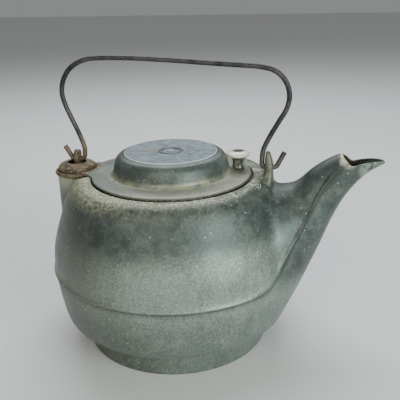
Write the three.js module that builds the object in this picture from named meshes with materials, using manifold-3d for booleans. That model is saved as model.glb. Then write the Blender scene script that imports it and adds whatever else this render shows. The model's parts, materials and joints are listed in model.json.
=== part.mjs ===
// A number eight stove kettle in cast iron, with a swing lid, a wire bail and a porcelain knob.
//
// Millimetres, +Z up. The origin is the centre of the flat bottom of the pit, the round foot that
// drops into the stove's eye. +X points along the spout. The lid turns about an upright axis at
// the rear ear, and the bail swings about the line through the holes of the two ears.

import * as THREE from 'three';
import { mergeVertices } from 'three/addons/utils/BufferGeometryUtils.js';
import Module from 'manifold-3d';

const wasm = await Module();
wasm.setup();

// ---------- driving dimensions ----------

const WALL = 3.2;                 // thickness of the casting
const GAP = 0.3;                  // air between pieces that rest on each other
const TURNS = 56;                 // flats round a full circle

const PIT_RADIUS = 100;
const PIT_FLARE = 1.5;            // the pit is this much wider at its top
const PIT_HEIGHT = 30.4;
const TOP_Z = 181.7;              // flat ring that the lid rests on
const MOUTH_RADIUS = 79;          // fill opening
const GROOVE = { inner: 82.6, outer: 85.4, depth: 1.8 };   // drip groove round the lid's edge
const SEAM_Z = 88.5;              // parting rib of the mould
const SEAM_RADIUS = 131.8;

const LID_X = -0.7;               // the lid sits a little to the rear
const LID_RADIUS = 83.8;
const LID_UNDER_Z = TOP_Z + GAP;
const FLANGE_Z = 184.5;           // top of the lid's flange
const PLATEAU_Z = 207.1;
const PLATEAU_RADIUS = 49;

const PIVOT_X = -107.5;           // axis that the lid turns about
const BOSS_RADIUS = 22;
const BOSS_BOTTOM_Z = 104;
const EYE_RADIUS = 9.6;           // hole in the lid's eye, round the rear ear
const EYE_RING_RADIUS = 24.3;     // collar at the foot of the eye
const EYE_DISC_RADIUS = 20.6;     // domed disc above the collar
const EYE_UNDER_Z = 178.2;

const WIRE_RADIUS = 2.6;
const WIRE_SIDES = 10;            // flats round the wire, an even number
const BAIL_AXIS_Z = 194;          // line that the bail swings about
const EAR_HOLE_RADIUS = 3.1;
const REAR_EAR = { x: -106, thick: 5.6, halfWidth: 6, topZ: 204.5 };
const FRONT_EAR = { inner: 98.2, outer: 107, halfWidth: 6.4, topZ: 210.3 };

const KNOB_REACH = 71.2;          // from the lid's centre
const KNOB_TURN = THREE.MathUtils.degToRad(17);
const KNOB_HEIGHT = 18.6;
const KNOB_RADIUS = 12.5;
const KNOB_Z = FLANGE_Z + 0.7;    // clear of the swell at the foot of the dome
const SCREW_RADIUS = 2.2;
const SCREW_HEAD_RADIUS = 4.6;
const SCREW_BORE_RADIUS = SCREW_RADIUS + GAP;

// ---------- helpers ----------

const v2 = (x, y) => new THREE.Vector2(x, y);

// Joins a geometry's shared corners, which makes it a solid that can be added or cut.
function solid(geometry) {
  const bare = geometry.index ? geometry.toNonIndexed() : geometry.clone();
  bare.deleteAttribute('normal');
  bare.deleteAttribute('uv');
  const merged = mergeVertices(bare, 1e-4);
  const corners = merged.index.array;
  const triangles = [];
  for (let i = 0; i < corners.length; i += 3) {
    const [a, b, c] = [corners[i], corners[i + 1], corners[i + 2]];
    if (a !== b && b !== c && c !== a) triangles.push(a, b, c);
  }
  return new wasm.Manifold(new wasm.Mesh({
    numProp: 3,
    vertProperties: new Float32Array(merged.attributes.position.array),
    triVerts: new Uint32Array(triangles),
  }));
}

function geometryOf(manifold) {
  const mesh = manifold.getMesh();
  const geometry = new THREE.BufferGeometry();
  geometry.setAttribute('position', new THREE.BufferAttribute(new Float32Array(mesh.vertProperties), 3));
  geometry.setIndex(new THREE.BufferAttribute(new Uint32Array(mesh.triVerts), 1));
  geometry.computeVertexNormals();
  return geometry;
}

// Turns an outline of [radius, height] points about the Z axis.
function turned(points, segments = TURNS) {
  const lathe = new THREE.LatheGeometry(points, segments);
  return lathe.rotateX(Math.PI / 2);
}

// The lathe's faces point out when its outline runs upwards on the outside.
function turnedSolid(points, segments = TURNS) {
  const made = solid(turned(points, segments));
  return made.volume() > 0 ? made : solid(turned([...points].reverse(), segments));
}

// A plate drawn in the XZ plane and as deep as 2 * half along Y, centred on y = 0.
function plateAlongY(shape, half, curveSegments = 8) {
  const plate = new THREE.ExtrudeGeometry(shape, { depth: 2 * half, bevelEnabled: false, curveSegments });
  return solid(plate.rotateX(Math.PI / 2).translate(0, half, 0));
}

// A plate drawn in the YZ plane, from x = start, as deep as length along X.
function plateAlongX(shape, start, length, curveSegments = 8) {
  const plate = new THREE.ExtrudeGeometry(shape, { depth: length, bevelEnabled: false, curveSegments });
  return solid(plate.rotateX(Math.PI / 2).rotateZ(Math.PI / 2).translate(start, 0, 0));
}

function polygon(points) {
  return new THREE.Shape(points.map(([x, y]) => v2(x, y)));
}

// A body through a row of rings with the same number of points, closed at both ends.
function loft(rings) {
  const count = rings[0].length;
  const position = rings.flat().flatMap((p) => [p.x, p.y, p.z]);
  const index = [];
  for (let ring = 0; ring + 1 < rings.length; ring += 1) {
    for (let k = 0; k < count; k += 1) {
      const a = ring * count + k;
      const b = ring * count + (k + 1) % count;
      index.push(a, b + count, b, a, a + count, b + count);
    }
  }
  const last = (rings.length - 1) * count;
  for (let k = 1; k + 1 < count; k += 1) {
    index.push(0, k, k + 1);
    index.push(last, last + k + 1, last + k);
  }
  const geometry = new THREE.BufferGeometry();
  geometry.setAttribute('position', new THREE.Float32BufferAttribute(position, 3));
  geometry.setIndex(index);
  return geometry;
}

// Moves every corner of an open outline sideways by the same thickness.
function inset(points, distance) {
  const sides = points.slice(1).map((p, i) => p.clone().sub(points[i]).normalize());
  return points.map((p, i) => {
    const before = sides[Math.max(i - 1, 0)];
    const after = sides[Math.min(i, sides.length - 1)];
    const normal = v2(-before.y - after.y, before.x + after.x).normalize();
    const spread = Math.max(0.5, normal.dot(v2(-before.y, before.x)));
    return p.clone().add(normal.multiplyScalar(distance / spread));
  });
}

// ---------- kettle body: one casting ----------

// Half outline of the belly, from the pit's lower corner up to the flat ring under the lid.
function bellyOutline() {
  const foot = [
    v2(PIT_RADIUS - 1.2, 0),
    v2(PIT_RADIUS, 1.2),
    v2(PIT_RADIUS + PIT_FLARE, PIT_HEIGHT),
  ];
  const side = new THREE.SplineCurve([
    v2(113, PIT_HEIGHT + 0.6),
    v2(121, 34.4),
    v2(125.4, 48.5),
    v2(129.4, 75.5),
    v2(130.6, 97.5),
    v2(127.9, 119.5),
    v2(118, 149.1),
    v2(110.2, 168),
    v2(103.6, 177.7),
    v2(94, TOP_Z),
  ]);
  return [...foot, ...side.getPoints(15)];
}

function bellySolid() {
  const outline = bellyOutline();
  return turnedSolid([v2(0, 0), ...outline, v2(0, TOP_Z)]);
}

function bellyHollow() {
  const wall = inset(bellyOutline(), WALL).filter((p) => p.y > WALL + 1);
  const top = TOP_Z - WALL;
  const below = wall.filter((p) => p.y < top - 0.4);
  return turnedSolid([
    v2(0, WALL),
    v2(PIT_RADIUS - WALL, WALL),
    ...below,
    v2(MOUTH_RADIUS + 12, top),
    v2(0, top),
  ]);
}

// The spout's stations: the keel's place, the crown's place and half the width between them.
const SPOUT = [
  { keel: [115, 30.5], crown: [92, 171.5], half: 60 },
  { keel: [130, 39.5], crown: [106, 175.5], half: 54 },
  { keel: [137.5, 65.5], crown: [117, 175.9], half: 45 },
  { keel: [146, 87.5], crown: [126, 177.5], half: 37 },
  { keel: [157, 115.5], crown: [134.5, 183], half: 30 },
  { keel: [167, 142.5], crown: [144, 192.5], half: 24 },
  { keel: [178, 165.5], crown: [155, 201], half: 18.5 },
  { keel: [188, 180], crown: [166, 207.5], half: 14.6 },
  { keel: [195, 187.8], crown: [174, 211], half: 12.4 },
  { keel: [203, 194.7], crown: [187, 215.5], half: 10 },
  { keel: [209.8, 199.4], crown: [201, 217], half: 7.6 },
  { keel: [215.4, 202.6], crown: [211.5, 217], half: 4.6 },
];
const SPOUT_SIDES = 28;
const SPOUT_ROOT_X = 114;         // upright plane that parts the spout's sub-part from the belly's
const MOUTH_CUT = [
  [174.6, 209.9], [184.2, 200.3], [192, 203], [202, 205], [215, 204.6], [230, 204.6], [230, 235], [173, 235],
];

function spoutRing({ keel, crown, half }, thin = 0) {
  const low = new THREE.Vector3(keel[0], 0, keel[1]);
  const high = new THREE.Vector3(crown[0], 0, crown[1]);
  const middle = low.clone().add(high).multiplyScalar(0.5);
  const reach = high.clone().sub(low).multiplyScalar(0.5);
  reach.setLength(reach.length() - thin);
  const ring = [];
  for (let k = 0; k < SPOUT_SIDES; k += 1) {
    const turn = (2 * Math.PI * k) / SPOUT_SIDES;
    const point = middle.clone().addScaledVector(reach, Math.cos(turn));
    point.y = (half - thin) * Math.sin(turn);
    ring.push(point);
  }
  return ring;
}

function spoutSolid() {
  return solid(loft(SPOUT.map((station) => spoutRing(station))));
}

// The bore follows the outside, and its wall thins towards the beak.
function spoutBore() {
  const rings = SPOUT.slice(0, -1).map((station, i) => spoutRing(station, WALL - 0.075 * i));
  return solid(loft(rings));
}

// The hood is cut off above the beak, which leaves an open trough with a level rim.
function beakCut() {
  return plateAlongY(polygon(MOUTH_CUT), 40);
}

function pivotBoss() {
  return turnedSolid([
    v2(0, BOSS_BOTTOM_Z),
    v2(BOSS_RADIUS, BOSS_BOTTOM_Z),
    v2(BOSS_RADIUS, EYE_UNDER_Z - 1.6),
    v2(BOSS_RADIUS - 1, EYE_UNDER_Z - GAP),
    v2(0, EYE_UNDER_Z - GAP),
  ], 40).translate([PIVOT_X, 0, 0]);
}

// Room for the lid's eye where it turns in the flat ring.
function eyeSeat() {
  const radius = EYE_RING_RADIUS + 0.6;
  const floor = EYE_UNDER_Z - GAP;
  return turnedSolid([v2(0, floor), v2(radius, floor), v2(radius, TOP_Z + 5), v2(0, TOP_Z + 5)], 40)
    .translate([PIVOT_X, 0, 0]);
}

// The wall is thickened under the eye's seat, which would otherwise cut through it.
function seatPad() {
  const radius = EYE_RING_RADIUS + 2.5;
  const low = EYE_UNDER_Z - GAP - WALL;
  return turnedSolid([v2(0, low), v2(radius, low), v2(radius, TOP_Z), v2(0, TOP_Z)], 40)
    .translate([PIVOT_X, 0, 0]);
}

function earHole(from, to) {
  const drill = new THREE.CylinderGeometry(EAR_HOLE_RADIUS, EAR_HOLE_RADIUS, to - from, 20);
  return solid(drill.rotateZ(Math.PI / 2).translate((from + to) / 2, 0, BAIL_AXIS_Z));
}

function rearEar() {
  const { x, thick, halfWidth, topZ } = REAR_EAR;
  const front = new THREE.Shape();
  front.moveTo(-halfWidth, EYE_UNDER_Z - 6);
  front.lineTo(halfWidth, EYE_UNDER_Z - 6);
  front.lineTo(halfWidth, topZ - halfWidth);
  front.absarc(0, topZ - halfWidth, halfWidth, 0, Math.PI, false);
  const start = x - thick / 2;
  return plateAlongX(front, start, thick).subtract(earHole(start - 2, start + thick + 2));
}

function frontEar() {
  const { inner, outer, halfWidth, topZ } = FRONT_EAR;
  const side = new THREE.Shape();
  side.moveTo(inner - 9, TOP_Z - 2);
  side.lineTo(outer, TOP_Z - 16);
  side.lineTo(outer, BAIL_AXIS_Z);
  side.lineTo(outer - 3, topZ - 2);
  side.quadraticCurveTo(outer - 3.8, topZ, outer - 5, topZ);
  side.quadraticCurveTo(inner + 1, topZ, inner + 0.6, topZ - 2);
  side.lineTo(inner, BAIL_AXIS_Z - 5);
  side.quadraticCurveTo(inner, TOP_Z + 1, inner - 9, TOP_Z - 0.5);
  const front = new THREE.Shape();
  front.moveTo(-halfWidth - 6, TOP_Z - 16);
  front.lineTo(halfWidth + 6, TOP_Z - 16);
  front.quadraticCurveTo(halfWidth, TOP_Z, halfWidth, BAIL_AXIS_Z - 4);
  front.lineTo(halfWidth - 1.6, topZ - 5);
  front.quadraticCurveTo(halfWidth - 2.2, topZ, 0, topZ);
  front.quadraticCurveTo(2.2 - halfWidth, topZ, 1.6 - halfWidth, topZ - 5);
  front.lineTo(-halfWidth, BAIL_AXIS_Z - 4);
  front.quadraticCurveTo(-halfWidth, TOP_Z, -halfWidth - 6, TOP_Z - 16);
  return plateAlongY(side, halfWidth + 8)
    .intersect(plateAlongX(front, inner - 10, outer - inner + 16))
    .subtract(earHole(inner - 3, outer + 3));
}

function seamRib() {
  return turnedSolid([
    v2(SEAM_RADIUS - 8, SEAM_Z - 2),
    v2(SEAM_RADIUS - 1, SEAM_Z - 2),
    v2(SEAM_RADIUS, SEAM_Z),
    v2(SEAM_RADIUS - 1.2, SEAM_Z + 2.4),
    v2(SEAM_RADIUS - 8, SEAM_Z + 2.4),
    v2(SEAM_RADIUS - 8, SEAM_Z - 2),
  ]);
}

function dripGroove() {
  const floor = TOP_Z - GROOVE.depth;
  return turnedSolid([
    v2(GROOVE.inner, floor),
    v2(GROOVE.outer, floor),
    v2(GROOVE.outer, TOP_Z + 1),
    v2(GROOVE.inner, TOP_Z + 1),
    v2(GROOVE.inner, floor),
  ]);
}

function fillOpening() {
  const floor = TOP_Z - WALL - 2;
  return turnedSolid([v2(0, floor), v2(MOUTH_RADIUS, floor), v2(MOUTH_RADIUS, TOP_Z + 2), v2(0, TOP_Z + 2)]);
}

function kettleCasting() {
  const outside = bellySolid().add(spoutSolid().subtract(beakCut())).add(pivotBoss()).add(seamRib());
  const hollow = bellyHollow().subtract(seatPad()).add(spoutBore());
  return outside
    .subtract(eyeSeat())
    .subtract(hollow)
    .subtract(fillOpening())
    .subtract(dripGroove())
    .add(rearEar())
    .add(frontEar().subtract(hollow));
}

// The casting is one piece of iron. Its spout, with the front of the belly that it grows out of, is
// a sub-part of its own, so that collision can follow the passage inside it.
function partedCasting() {
  const [spout, body] = kettleCasting().splitByPlane([1, 0, 0], SPOUT_ROOT_X);
  return { spout, body };
}

// ---------- lid: one casting with its eye ----------

function lidDome() {
  const outside = [
    v2(0, PLATEAU_Z),
    v2(PLATEAU_RADIUS - 1.2, PLATEAU_Z),
    v2(PLATEAU_RADIUS, PLATEAU_Z - 0.5),
    v2(54.6, PLATEAU_Z - 2.6),
    v2(58.4, PLATEAU_Z - 7.2),
    v2(60.2, PLATEAU_Z - 13.5),
    v2(61.2, PLATEAU_Z - 19),
    v2(63.6, FLANGE_Z + 0.4),
    v2(LID_RADIUS - 0.7, FLANGE_Z),
    v2(LID_RADIUS, FLANGE_Z - 0.7),
    v2(LID_RADIUS - 0.3, LID_UNDER_Z),
  ];
  const inside = [
    v2(60.2, LID_UNDER_Z),
    v2(58.2, PLATEAU_Z - 20),
    v2(57, PLATEAU_Z - 13.2),
    v2(54.4, PLATEAU_Z - 7.8),
    v2(48, PLATEAU_Z - 3.4),
    v2(0, PLATEAU_Z - 3.2),
  ];
  return turnedSolid([...outside, ...inside]).translate([LID_X, 0, 0]);
}

// Plain raised ring and button in the middle of the lid.
function lidOrnament() {
  const ring = turnedSolid([
    v2(9, PLATEAU_Z - 1), v2(12.8, PLATEAU_Z - 1), v2(12.3, PLATEAU_Z + 0.9),
    v2(9.5, PLATEAU_Z + 0.9), v2(9, PLATEAU_Z - 1),
  ], 32);
  const button = turnedSolid([
    v2(0, PLATEAU_Z - 1), v2(4.4, PLATEAU_Z - 1), v2(3.4, PLATEAU_Z + 1), v2(0, PLATEAU_Z + 1.2),
  ], 16);
  return ring.add(button).translate([LID_X, 0, 0]);
}

// A collar with a bevelled lower edge, and on it a domed disc with the hole for the ear.
function lidEye() {
  const collarTop = EYE_UNDER_Z + 4.6;
  return turnedSolid([
    v2(EYE_RADIUS, EYE_UNDER_Z),
    v2(EYE_RING_RADIUS - 1.8, EYE_UNDER_Z),
    v2(EYE_RING_RADIUS - 0.4, EYE_UNDER_Z + 1.2),
    v2(EYE_RING_RADIUS, EYE_UNDER_Z + 2.6),
    v2(EYE_RING_RADIUS - 0.3, collarTop - 0.6),
    v2(EYE_RING_RADIUS - 1.2, collarTop),
    v2(EYE_DISC_RADIUS + 0.6, collarTop - 0.3),
    v2(EYE_DISC_RADIUS, collarTop),
    v2(EYE_DISC_RADIUS - 0.3, collarTop + 3.6),
    v2(EYE_DISC_RADIUS - 1.6, collarTop + 5.6),
    v2(16, collarTop + 7.4),
    v2(12, collarTop + 8.6),
    v2(EYE_RADIUS + 0.7, collarTop + 8.6),
    v2(EYE_RADIUS, collarTop + 7.8),
    v2(EYE_RADIUS, EYE_UNDER_Z),
  ], 40).translate([PIVOT_X, 0, 0]);
}

// The web runs the flange into the eye with a hollow curve on each side.
function lidWeb() {
  const outer = PIVOT_X + 12;
  const shape = new THREE.Shape();
  shape.moveTo(outer, -20);
  shape.quadraticCurveTo(outer + 11, -22.5, outer + 21, -36);
  shape.lineTo(outer + 27, 0);
  shape.lineTo(outer + 21, 36);
  shape.quadraticCurveTo(outer + 11, 22.5, outer, 20);
  const depth = FLANGE_Z - LID_UNDER_Z;
  const web = new THREE.ExtrudeGeometry(shape, { depth, bevelEnabled: false, curveSegments: 6 });
  return solid(web.translate(0, 0, LID_UNDER_Z))
    .subtract(eyeBore());
}

function eyeBore() {
  const bore = new THREE.CylinderGeometry(EYE_RADIUS, EYE_RADIUS, 40, 40);
  return solid(bore.rotateX(Math.PI / 2).translate(PIVOT_X, 0, EYE_UNDER_Z));
}

function knobPlace(z) {
  return [LID_X + KNOB_REACH * Math.cos(KNOB_TURN), KNOB_REACH * Math.sin(KNOB_TURN), z];
}

function screwBore() {
  const drill = new THREE.CylinderGeometry(SCREW_BORE_RADIUS, SCREW_BORE_RADIUS, 12, 16);
  return solid(drill.rotateX(Math.PI / 2).translate(...knobPlace(FLANGE_Z)));
}

function lid() {
  return lidDome().add(lidOrnament()).add(lidWeb()).add(lidEye()).subtract(screwBore());
}

// ---------- bail: one bent iron wire ----------

// The wire's middle line in the XZ plane: legs and grip between the two bends at the ears.
const BAIL_LOOP = [
  [-97.3, 199.7], [-97.4, 208.5], [-102.6, 224], [-109.2, 239.5], [-114.6, 253.5], [-116.9, 266.5],
  [-113.6, 279.7], [-105, 291.3], [-91.5, 298.9], [-75, 301.7], [-40, 301.9], [0, 300.1], [40, 297.5],
  [78, 295.2], [93, 294], [107, 290.2], [117, 280.7], [121.2, 267.5], [119, 254], [111.4, 240.5],
  [102.4, 224.5], [96.4, 211], [95, 197.7],
];
const REAR_TIP = v2(-119.6, 208.3);
const FRONT_TIP = v2(117.8, 209.4);
const PRONG_BEND = 3.6;           // bend radius of the middle line outside the ears

// Points round a bend of the middle line, from the direction "from" to the direction "to".
function bend(centre, radius, from, to, steps) {
  return Array.from({ length: steps + 1 }, (_, i) => {
    const turn = from + ((to - from) * i) / steps;
    return v2(centre.x + radius * Math.cos(turn), centre.y + radius * Math.sin(turn));
  });
}

// The wire leaves an ear along X, bends up and ends in a short prong. side is -1 rear, +1 front.
function prong(side, start, tip) {
  const centre = v2(start, BAIL_AXIS_Z + PRONG_BEND);
  const lean = Math.atan2(tip.y - centre.y, (tip.x - centre.x) * side);
  const reach = centre.distanceTo(tip);
  const sweep = lean + Math.asin(PRONG_BEND / reach);
  const turns = Array.from({ length: 5 }, (_, i) => (sweep * i) / 4);
  const arc = turns.map((a) => v2(
    centre.x + side * PRONG_BEND * Math.sin(a),
    centre.y - PRONG_BEND * Math.cos(a),
  ));
  return [...arc, tip];
}

function bailRoute() {
  const rear = prong(-1, REAR_EAR.x - REAR_EAR.thick / 2 - 0.4, REAR_TIP).reverse();
  const front = prong(1, FRONT_EAR.outer + 0.6, FRONT_TIP);
  const [rearX, rearZ] = BAIL_LOOP[0];
  const [frontX, frontZ] = BAIL_LOOP.at(-1);
  const rearRadius = rearZ - BAIL_AXIS_Z;
  const frontRadius = frontZ - BAIL_AXIS_Z;
  const rearTurn = bend(v2(rearX - rearRadius, rearZ), rearRadius, -Math.PI / 2, 0, 5);
  const frontTurn = bend(v2(frontX + frontRadius, frontZ), frontRadius, Math.PI, 1.5 * Math.PI, 5);
  const loop = new THREE.CatmullRomCurve3(BAIL_LOOP.map(([x, z]) => new THREE.Vector3(x, 0, z)));
  const curve = loop.getSpacedPoints(56).map((p) => v2(p.x, p.z));
  return [...rear, ...rearTurn, ...curve.slice(1, -1), ...frontTurn, ...front];
}

// A path whose stations are the given points, so that tight bends get as many as they need.
class StationPath extends THREE.Curve {
  constructor(points) {
    super();
    this.stations = points.map((p) => new THREE.Vector3(p.x, 0, p.y));
  }

  getPoint(t, target = new THREE.Vector3()) {
    const place = t * (this.stations.length - 1);
    const i = Math.min(Math.floor(place), this.stations.length - 2);
    return target.lerpVectors(this.stations[i], this.stations[i + 1], place - i);
  }

  getTangent(t, target = new THREE.Vector3()) {
    const last = this.stations.length - 1;
    const i = Math.round(t * last);
    const here = this.stations[i];
    const after = this.stations[Math.min(i + 1, last)].clone().sub(here).normalize();
    const before = here.clone().sub(this.stations[Math.max(i - 1, 0)]).normalize();
    return target.addVectors(after, before).normalize();
  }

  getPointAt(u, target) {
    return this.getPoint(u, target);
  }

  getTangentAt(u, target) {
    return this.getTangent(u, target);
  }

  getSpacedPoints(divisions) {
    return this.getPoints(divisions);
  }
}

function bail() {
  const path = new StationPath(bailRoute());
  const section = new THREE.Shape();
  section.absarc(0, 0, WIRE_RADIUS, 0, 2 * Math.PI, false);
  const steps = path.stations.length - 1;
  return solid(new THREE.ExtrudeGeometry(section, {
    steps, bevelEnabled: false, extrudePath: path, curveSegments: WIRE_SIDES / 2,
  }));
}

// ---------- knob and its screw ----------

function knob() {
  const h = KNOB_HEIGHT;
  return turnedSolid([
    v2(SCREW_BORE_RADIUS, 0),
    v2(6.5, 0),
    v2(6.7, 1.2),
    v2(6.1, 3.4),
    v2(6, 6.4),
    v2(6.9, 9.8),
    v2(8.8, 12),
    v2(11.3, 13.2),
    v2(KNOB_RADIUS, 14.7),
    v2(12.4, 16.1),
    v2(10.9, h - 1.3),
    v2(7.6, h - 0.3),
    v2(5.4, h),
    v2(SCREW_HEAD_RADIUS + GAP, h - 0.4),
    v2(SCREW_HEAD_RADIUS + GAP, h - 2),
    v2(SCREW_BORE_RADIUS, h - 2),
    v2(SCREW_BORE_RADIUS, 0),
  ], 24).translate(knobPlace(KNOB_Z));
}

function knobScrew() {
  const seat = KNOB_HEIGHT - 2 + GAP;
  const foot = LID_UNDER_Z + 0.4 - KNOB_Z;
  const screw = turnedSolid([
    v2(0, foot),
    v2(SCREW_RADIUS, foot),
    v2(SCREW_RADIUS, seat),
    v2(SCREW_HEAD_RADIUS, seat),
    v2(SCREW_HEAD_RADIUS, seat + 1),
    v2(3.2, seat + 2.1),
    v2(0, seat + 2.5),
  ], 20);
  const slot = solid(new THREE.BoxGeometry(12, 1.1, 2).translate(0, 0, seat + 2.5));
  return screw.subtract(slot).translate(knobPlace(KNOB_Z));
}

// ---------- the assembly ----------

const castIron = new THREE.MeshStandardMaterial({ color: 0x4c524c, roughness: 0.55, metalness: 0.8 });
const lidIron = new THREE.MeshStandardMaterial({ color: 0x565c5c, roughness: 0.5, metalness: 0.8 });
const wireIron = new THREE.MeshStandardMaterial({ color: 0x34353a, roughness: 0.45, metalness: 0.85 });
const porcelain = new THREE.MeshStandardMaterial({ color: 0xe0d9c0, roughness: 0.2, metalness: 0 });
const screwIron = new THREE.MeshStandardMaterial({ color: 0x2e2a28, roughness: 0.6, metalness: 0.8 });

function piece(name, manifold, material) {
  const mesh = new THREE.Mesh(geometryOf(manifold), material);
  mesh.name = name;
  return mesh;
}

const kettle = new THREE.Group();
const casting = partedCasting();
kettle.add(piece('kettle_body', casting.body, castIron));
kettle.add(piece('spout', casting.spout, castIron));

const swingLid = new THREE.Group();
swingLid.add(piece('lid', lid(), lidIron));
swingLid.add(piece('knob', knob(), porcelain));
swingLid.add(piece('knob_screw', knobScrew(), screwIron));
kettle.add(swingLid);

kettle.add(piece('bail', bail(), wireIron));

export default kettle;
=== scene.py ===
# %% [markdown]
# # An old stove kettle in cast iron
# The kettle is five real pieces: one big casting (belly, pit, spout, ears), a swing lid cast with the
# eye that turns on the rear ear, a wire bail, and a porcelain knob held down by a screw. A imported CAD
# frame fixes every size and every joint. This notebook puts finished surfaces on that frame: it
# measures the frame, builds each piece as its own mesh, and gives each one a procedural material.

import json
import math

import bmesh
import bpy
import numpy as np
from mathutils import Matrix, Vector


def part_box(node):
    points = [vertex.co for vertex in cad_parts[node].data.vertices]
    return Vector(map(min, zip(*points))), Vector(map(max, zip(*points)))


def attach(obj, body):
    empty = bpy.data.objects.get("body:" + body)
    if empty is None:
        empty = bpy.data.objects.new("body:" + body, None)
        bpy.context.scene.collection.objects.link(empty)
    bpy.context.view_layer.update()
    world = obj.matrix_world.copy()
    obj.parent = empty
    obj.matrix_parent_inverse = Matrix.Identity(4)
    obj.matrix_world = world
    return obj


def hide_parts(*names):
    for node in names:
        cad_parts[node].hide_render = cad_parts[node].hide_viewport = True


MM = 0.001
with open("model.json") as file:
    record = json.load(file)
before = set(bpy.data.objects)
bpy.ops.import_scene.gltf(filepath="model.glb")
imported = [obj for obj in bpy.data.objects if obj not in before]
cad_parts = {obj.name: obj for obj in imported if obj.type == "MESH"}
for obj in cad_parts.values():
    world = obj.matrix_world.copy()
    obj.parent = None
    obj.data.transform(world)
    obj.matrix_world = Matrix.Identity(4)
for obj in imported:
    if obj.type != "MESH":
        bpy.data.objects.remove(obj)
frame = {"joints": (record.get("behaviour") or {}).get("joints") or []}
scene = bpy.context.scene
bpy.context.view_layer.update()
joints = {joint["name"]: joint for joint in frame["joints"]}
PIVOT_X = joints["lid_swivel"]["pos_m"][0] / MM
BAIL_AXIS_Z = joints["bail_swing"]["pos_m"][2] / MM
print("lid turns about x =", round(PIVOT_X, 1), "mm; bail swings at z =", round(BAIL_AXIS_Z, 1), "mm")

# %% [markdown]
# ## Camera, floor and light
# The camera comes first, so that every later piece is judged in the same view: standing a little
# above the kettle, about 0.6 m away, with the spout turned 16 degrees towards the lens. The floor is a
# plain pale plane, and iron with a satin skin mirrors it softly in the lower half of the belly. Soft
# area lights do what windows do: a wide cool one overhead and behind gives the upward faces their blue
# grey sheen, a cool one on the right lights the spout's side, and a weak warm one fills the front.

# %% Camera
SPOUT_TURN = math.radians(16)
CAMERA_DISTANCE = 0.6074
CAMERA_HEIGHT = 0.3758
CAMERA_PITCH = math.radians(20.33)
CAMERA_PAN = math.radians(2.70)
CAMERA_ROLL = math.radians(-1.54)
FOCAL_LENGTH = 54


def place_camera():
    heading = CAMERA_PAN - SPOUT_TURN
    forward = np.array([
        math.sin(heading) * math.cos(CAMERA_PITCH),
        math.cos(heading) * math.cos(CAMERA_PITCH),
        -math.sin(CAMERA_PITCH),
    ])
    level = np.array([math.cos(heading), -math.sin(heading), 0.0])
    upright = np.cross(level, forward)
    right = math.cos(CAMERA_ROLL) * level + math.sin(CAMERA_ROLL) * upright
    up = np.cross(right, forward)
    spot = (
        CAMERA_DISTANCE * math.sin(SPOUT_TURN),
        -CAMERA_DISTANCE * math.cos(SPOUT_TURN),
        CAMERA_HEIGHT,
    )
    data = bpy.data.cameras.new("camera")
    data.lens = FOCAL_LENGTH
    camera = bpy.data.objects.new("camera", data)
    scene.collection.objects.link(camera)
    turn = Matrix([
        [right[0], up[0], -forward[0]],
        [right[1], up[1], -forward[1]],
        [right[2], up[2], -forward[2]],
    ]).to_4x4()
    camera.matrix_world = Matrix.Translation(spot) @ turn
    scene.camera = camera
    return spot


print("camera at", [round(v, 3) for v in place_camera()])

# %% Floor and lights


def add_floor():
    size = 6.0
    mesh = bpy.data.meshes.new("floor")
    mesh.from_pydata(
        [(-size, -size, 0), (size, -size, 0), (size, size, 0), (-size, size, 0)], [], [(0, 1, 2, 3)]
    )
    floor = bpy.data.objects.new("floor", mesh)
    scene.collection.objects.link(floor)
    paint = bpy.data.materials.new("pale_floor")
    paint.use_nodes = True
    shader = paint.node_tree.nodes["Principled BSDF"]
    shader.inputs["Base Color"].default_value = (0.74, 0.73, 0.71, 1)
    shader.inputs["Roughness"].default_value = 0.8
    mesh.materials.append(paint)


def add_light(name, spot, aim, size, watts, colour):
    data = bpy.data.lights.new(name, "AREA")
    data.shape = "RECTANGLE"
    data.size = size[0]
    data.size_y = size[1]
    data.energy = watts
    data.color = colour
    light = bpy.data.objects.new(name, data)
    scene.collection.objects.link(light)
    away = Matrix.Translation(spot).to_translation() - Matrix.Translation(aim).to_translation()
    light.matrix_world = Matrix.Translation(spot) @ away.to_track_quat("Z", "Y").to_matrix().to_4x4()


def add_world():
    world = bpy.data.worlds.new("studio")
    world.use_nodes = True
    sky = world.node_tree.nodes["Background"]
    sky.inputs["Color"].default_value = (0.84, 0.88, 0.88, 1)
    sky.inputs["Strength"].default_value = 0.3
    scene.world = world


add_floor()
add_world()
KETTLE_MIDDLE = (0.02, 0.0, 0.12)
add_light("overhead", (-0.2, 0.8, 1.5), KETTLE_MIDDLE, (1.6, 1.2), 30, (0.84, 0.92, 0.97))
add_light("right_window", (1.3, -0.9, 0.55), KETTLE_MIDDLE, (1.0, 0.8), 24, (0.86, 0.97, 0.97))
add_light("front_fill", (-0.2, -1.5, 0.9), KETTLE_MIDDLE, (1.2, 0.9), 9, (1.0, 0.96, 0.88))

# %% [markdown]
# ## Mesh helpers
# Most of the kettle is turned or cast, so a few small helpers carry the work: a smooth curve through
# a few chosen points, a turned body from a half outline, and a piece that is finished by baking its
# modifiers into a plain mesh. Sizes are kept in millimetres, and only the last step makes metres.

# %% Helpers


def smooth_curve(points, count):
    """A smooth curve through the points, with the same number of steps between each two."""
    given = np.asarray(points, float)
    padded = np.vstack([2 * given[0] - given[1], given, 2 * given[-1] - given[-2]])
    place = np.linspace(0, len(given) - 1, count)
    start = np.minimum(place.astype(int), len(given) - 2)
    t = (place - start)[:, None]
    a, b, c, d = (padded[start + k] for k in range(4))
    return 0.5 * (
        2 * b + (c - a) * t + (2 * a - 5 * b + 4 * c - d) * t ** 2 + (3 * b - a - 3 * c + d) * t ** 3
    )


def step(low, high, value):
    """0 below low, 1 above high, and an even swell between them."""
    t = np.clip((np.asarray(value, float) - low) / (high - low), 0, 1)
    return t * t * (3 - 2 * t)


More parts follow.
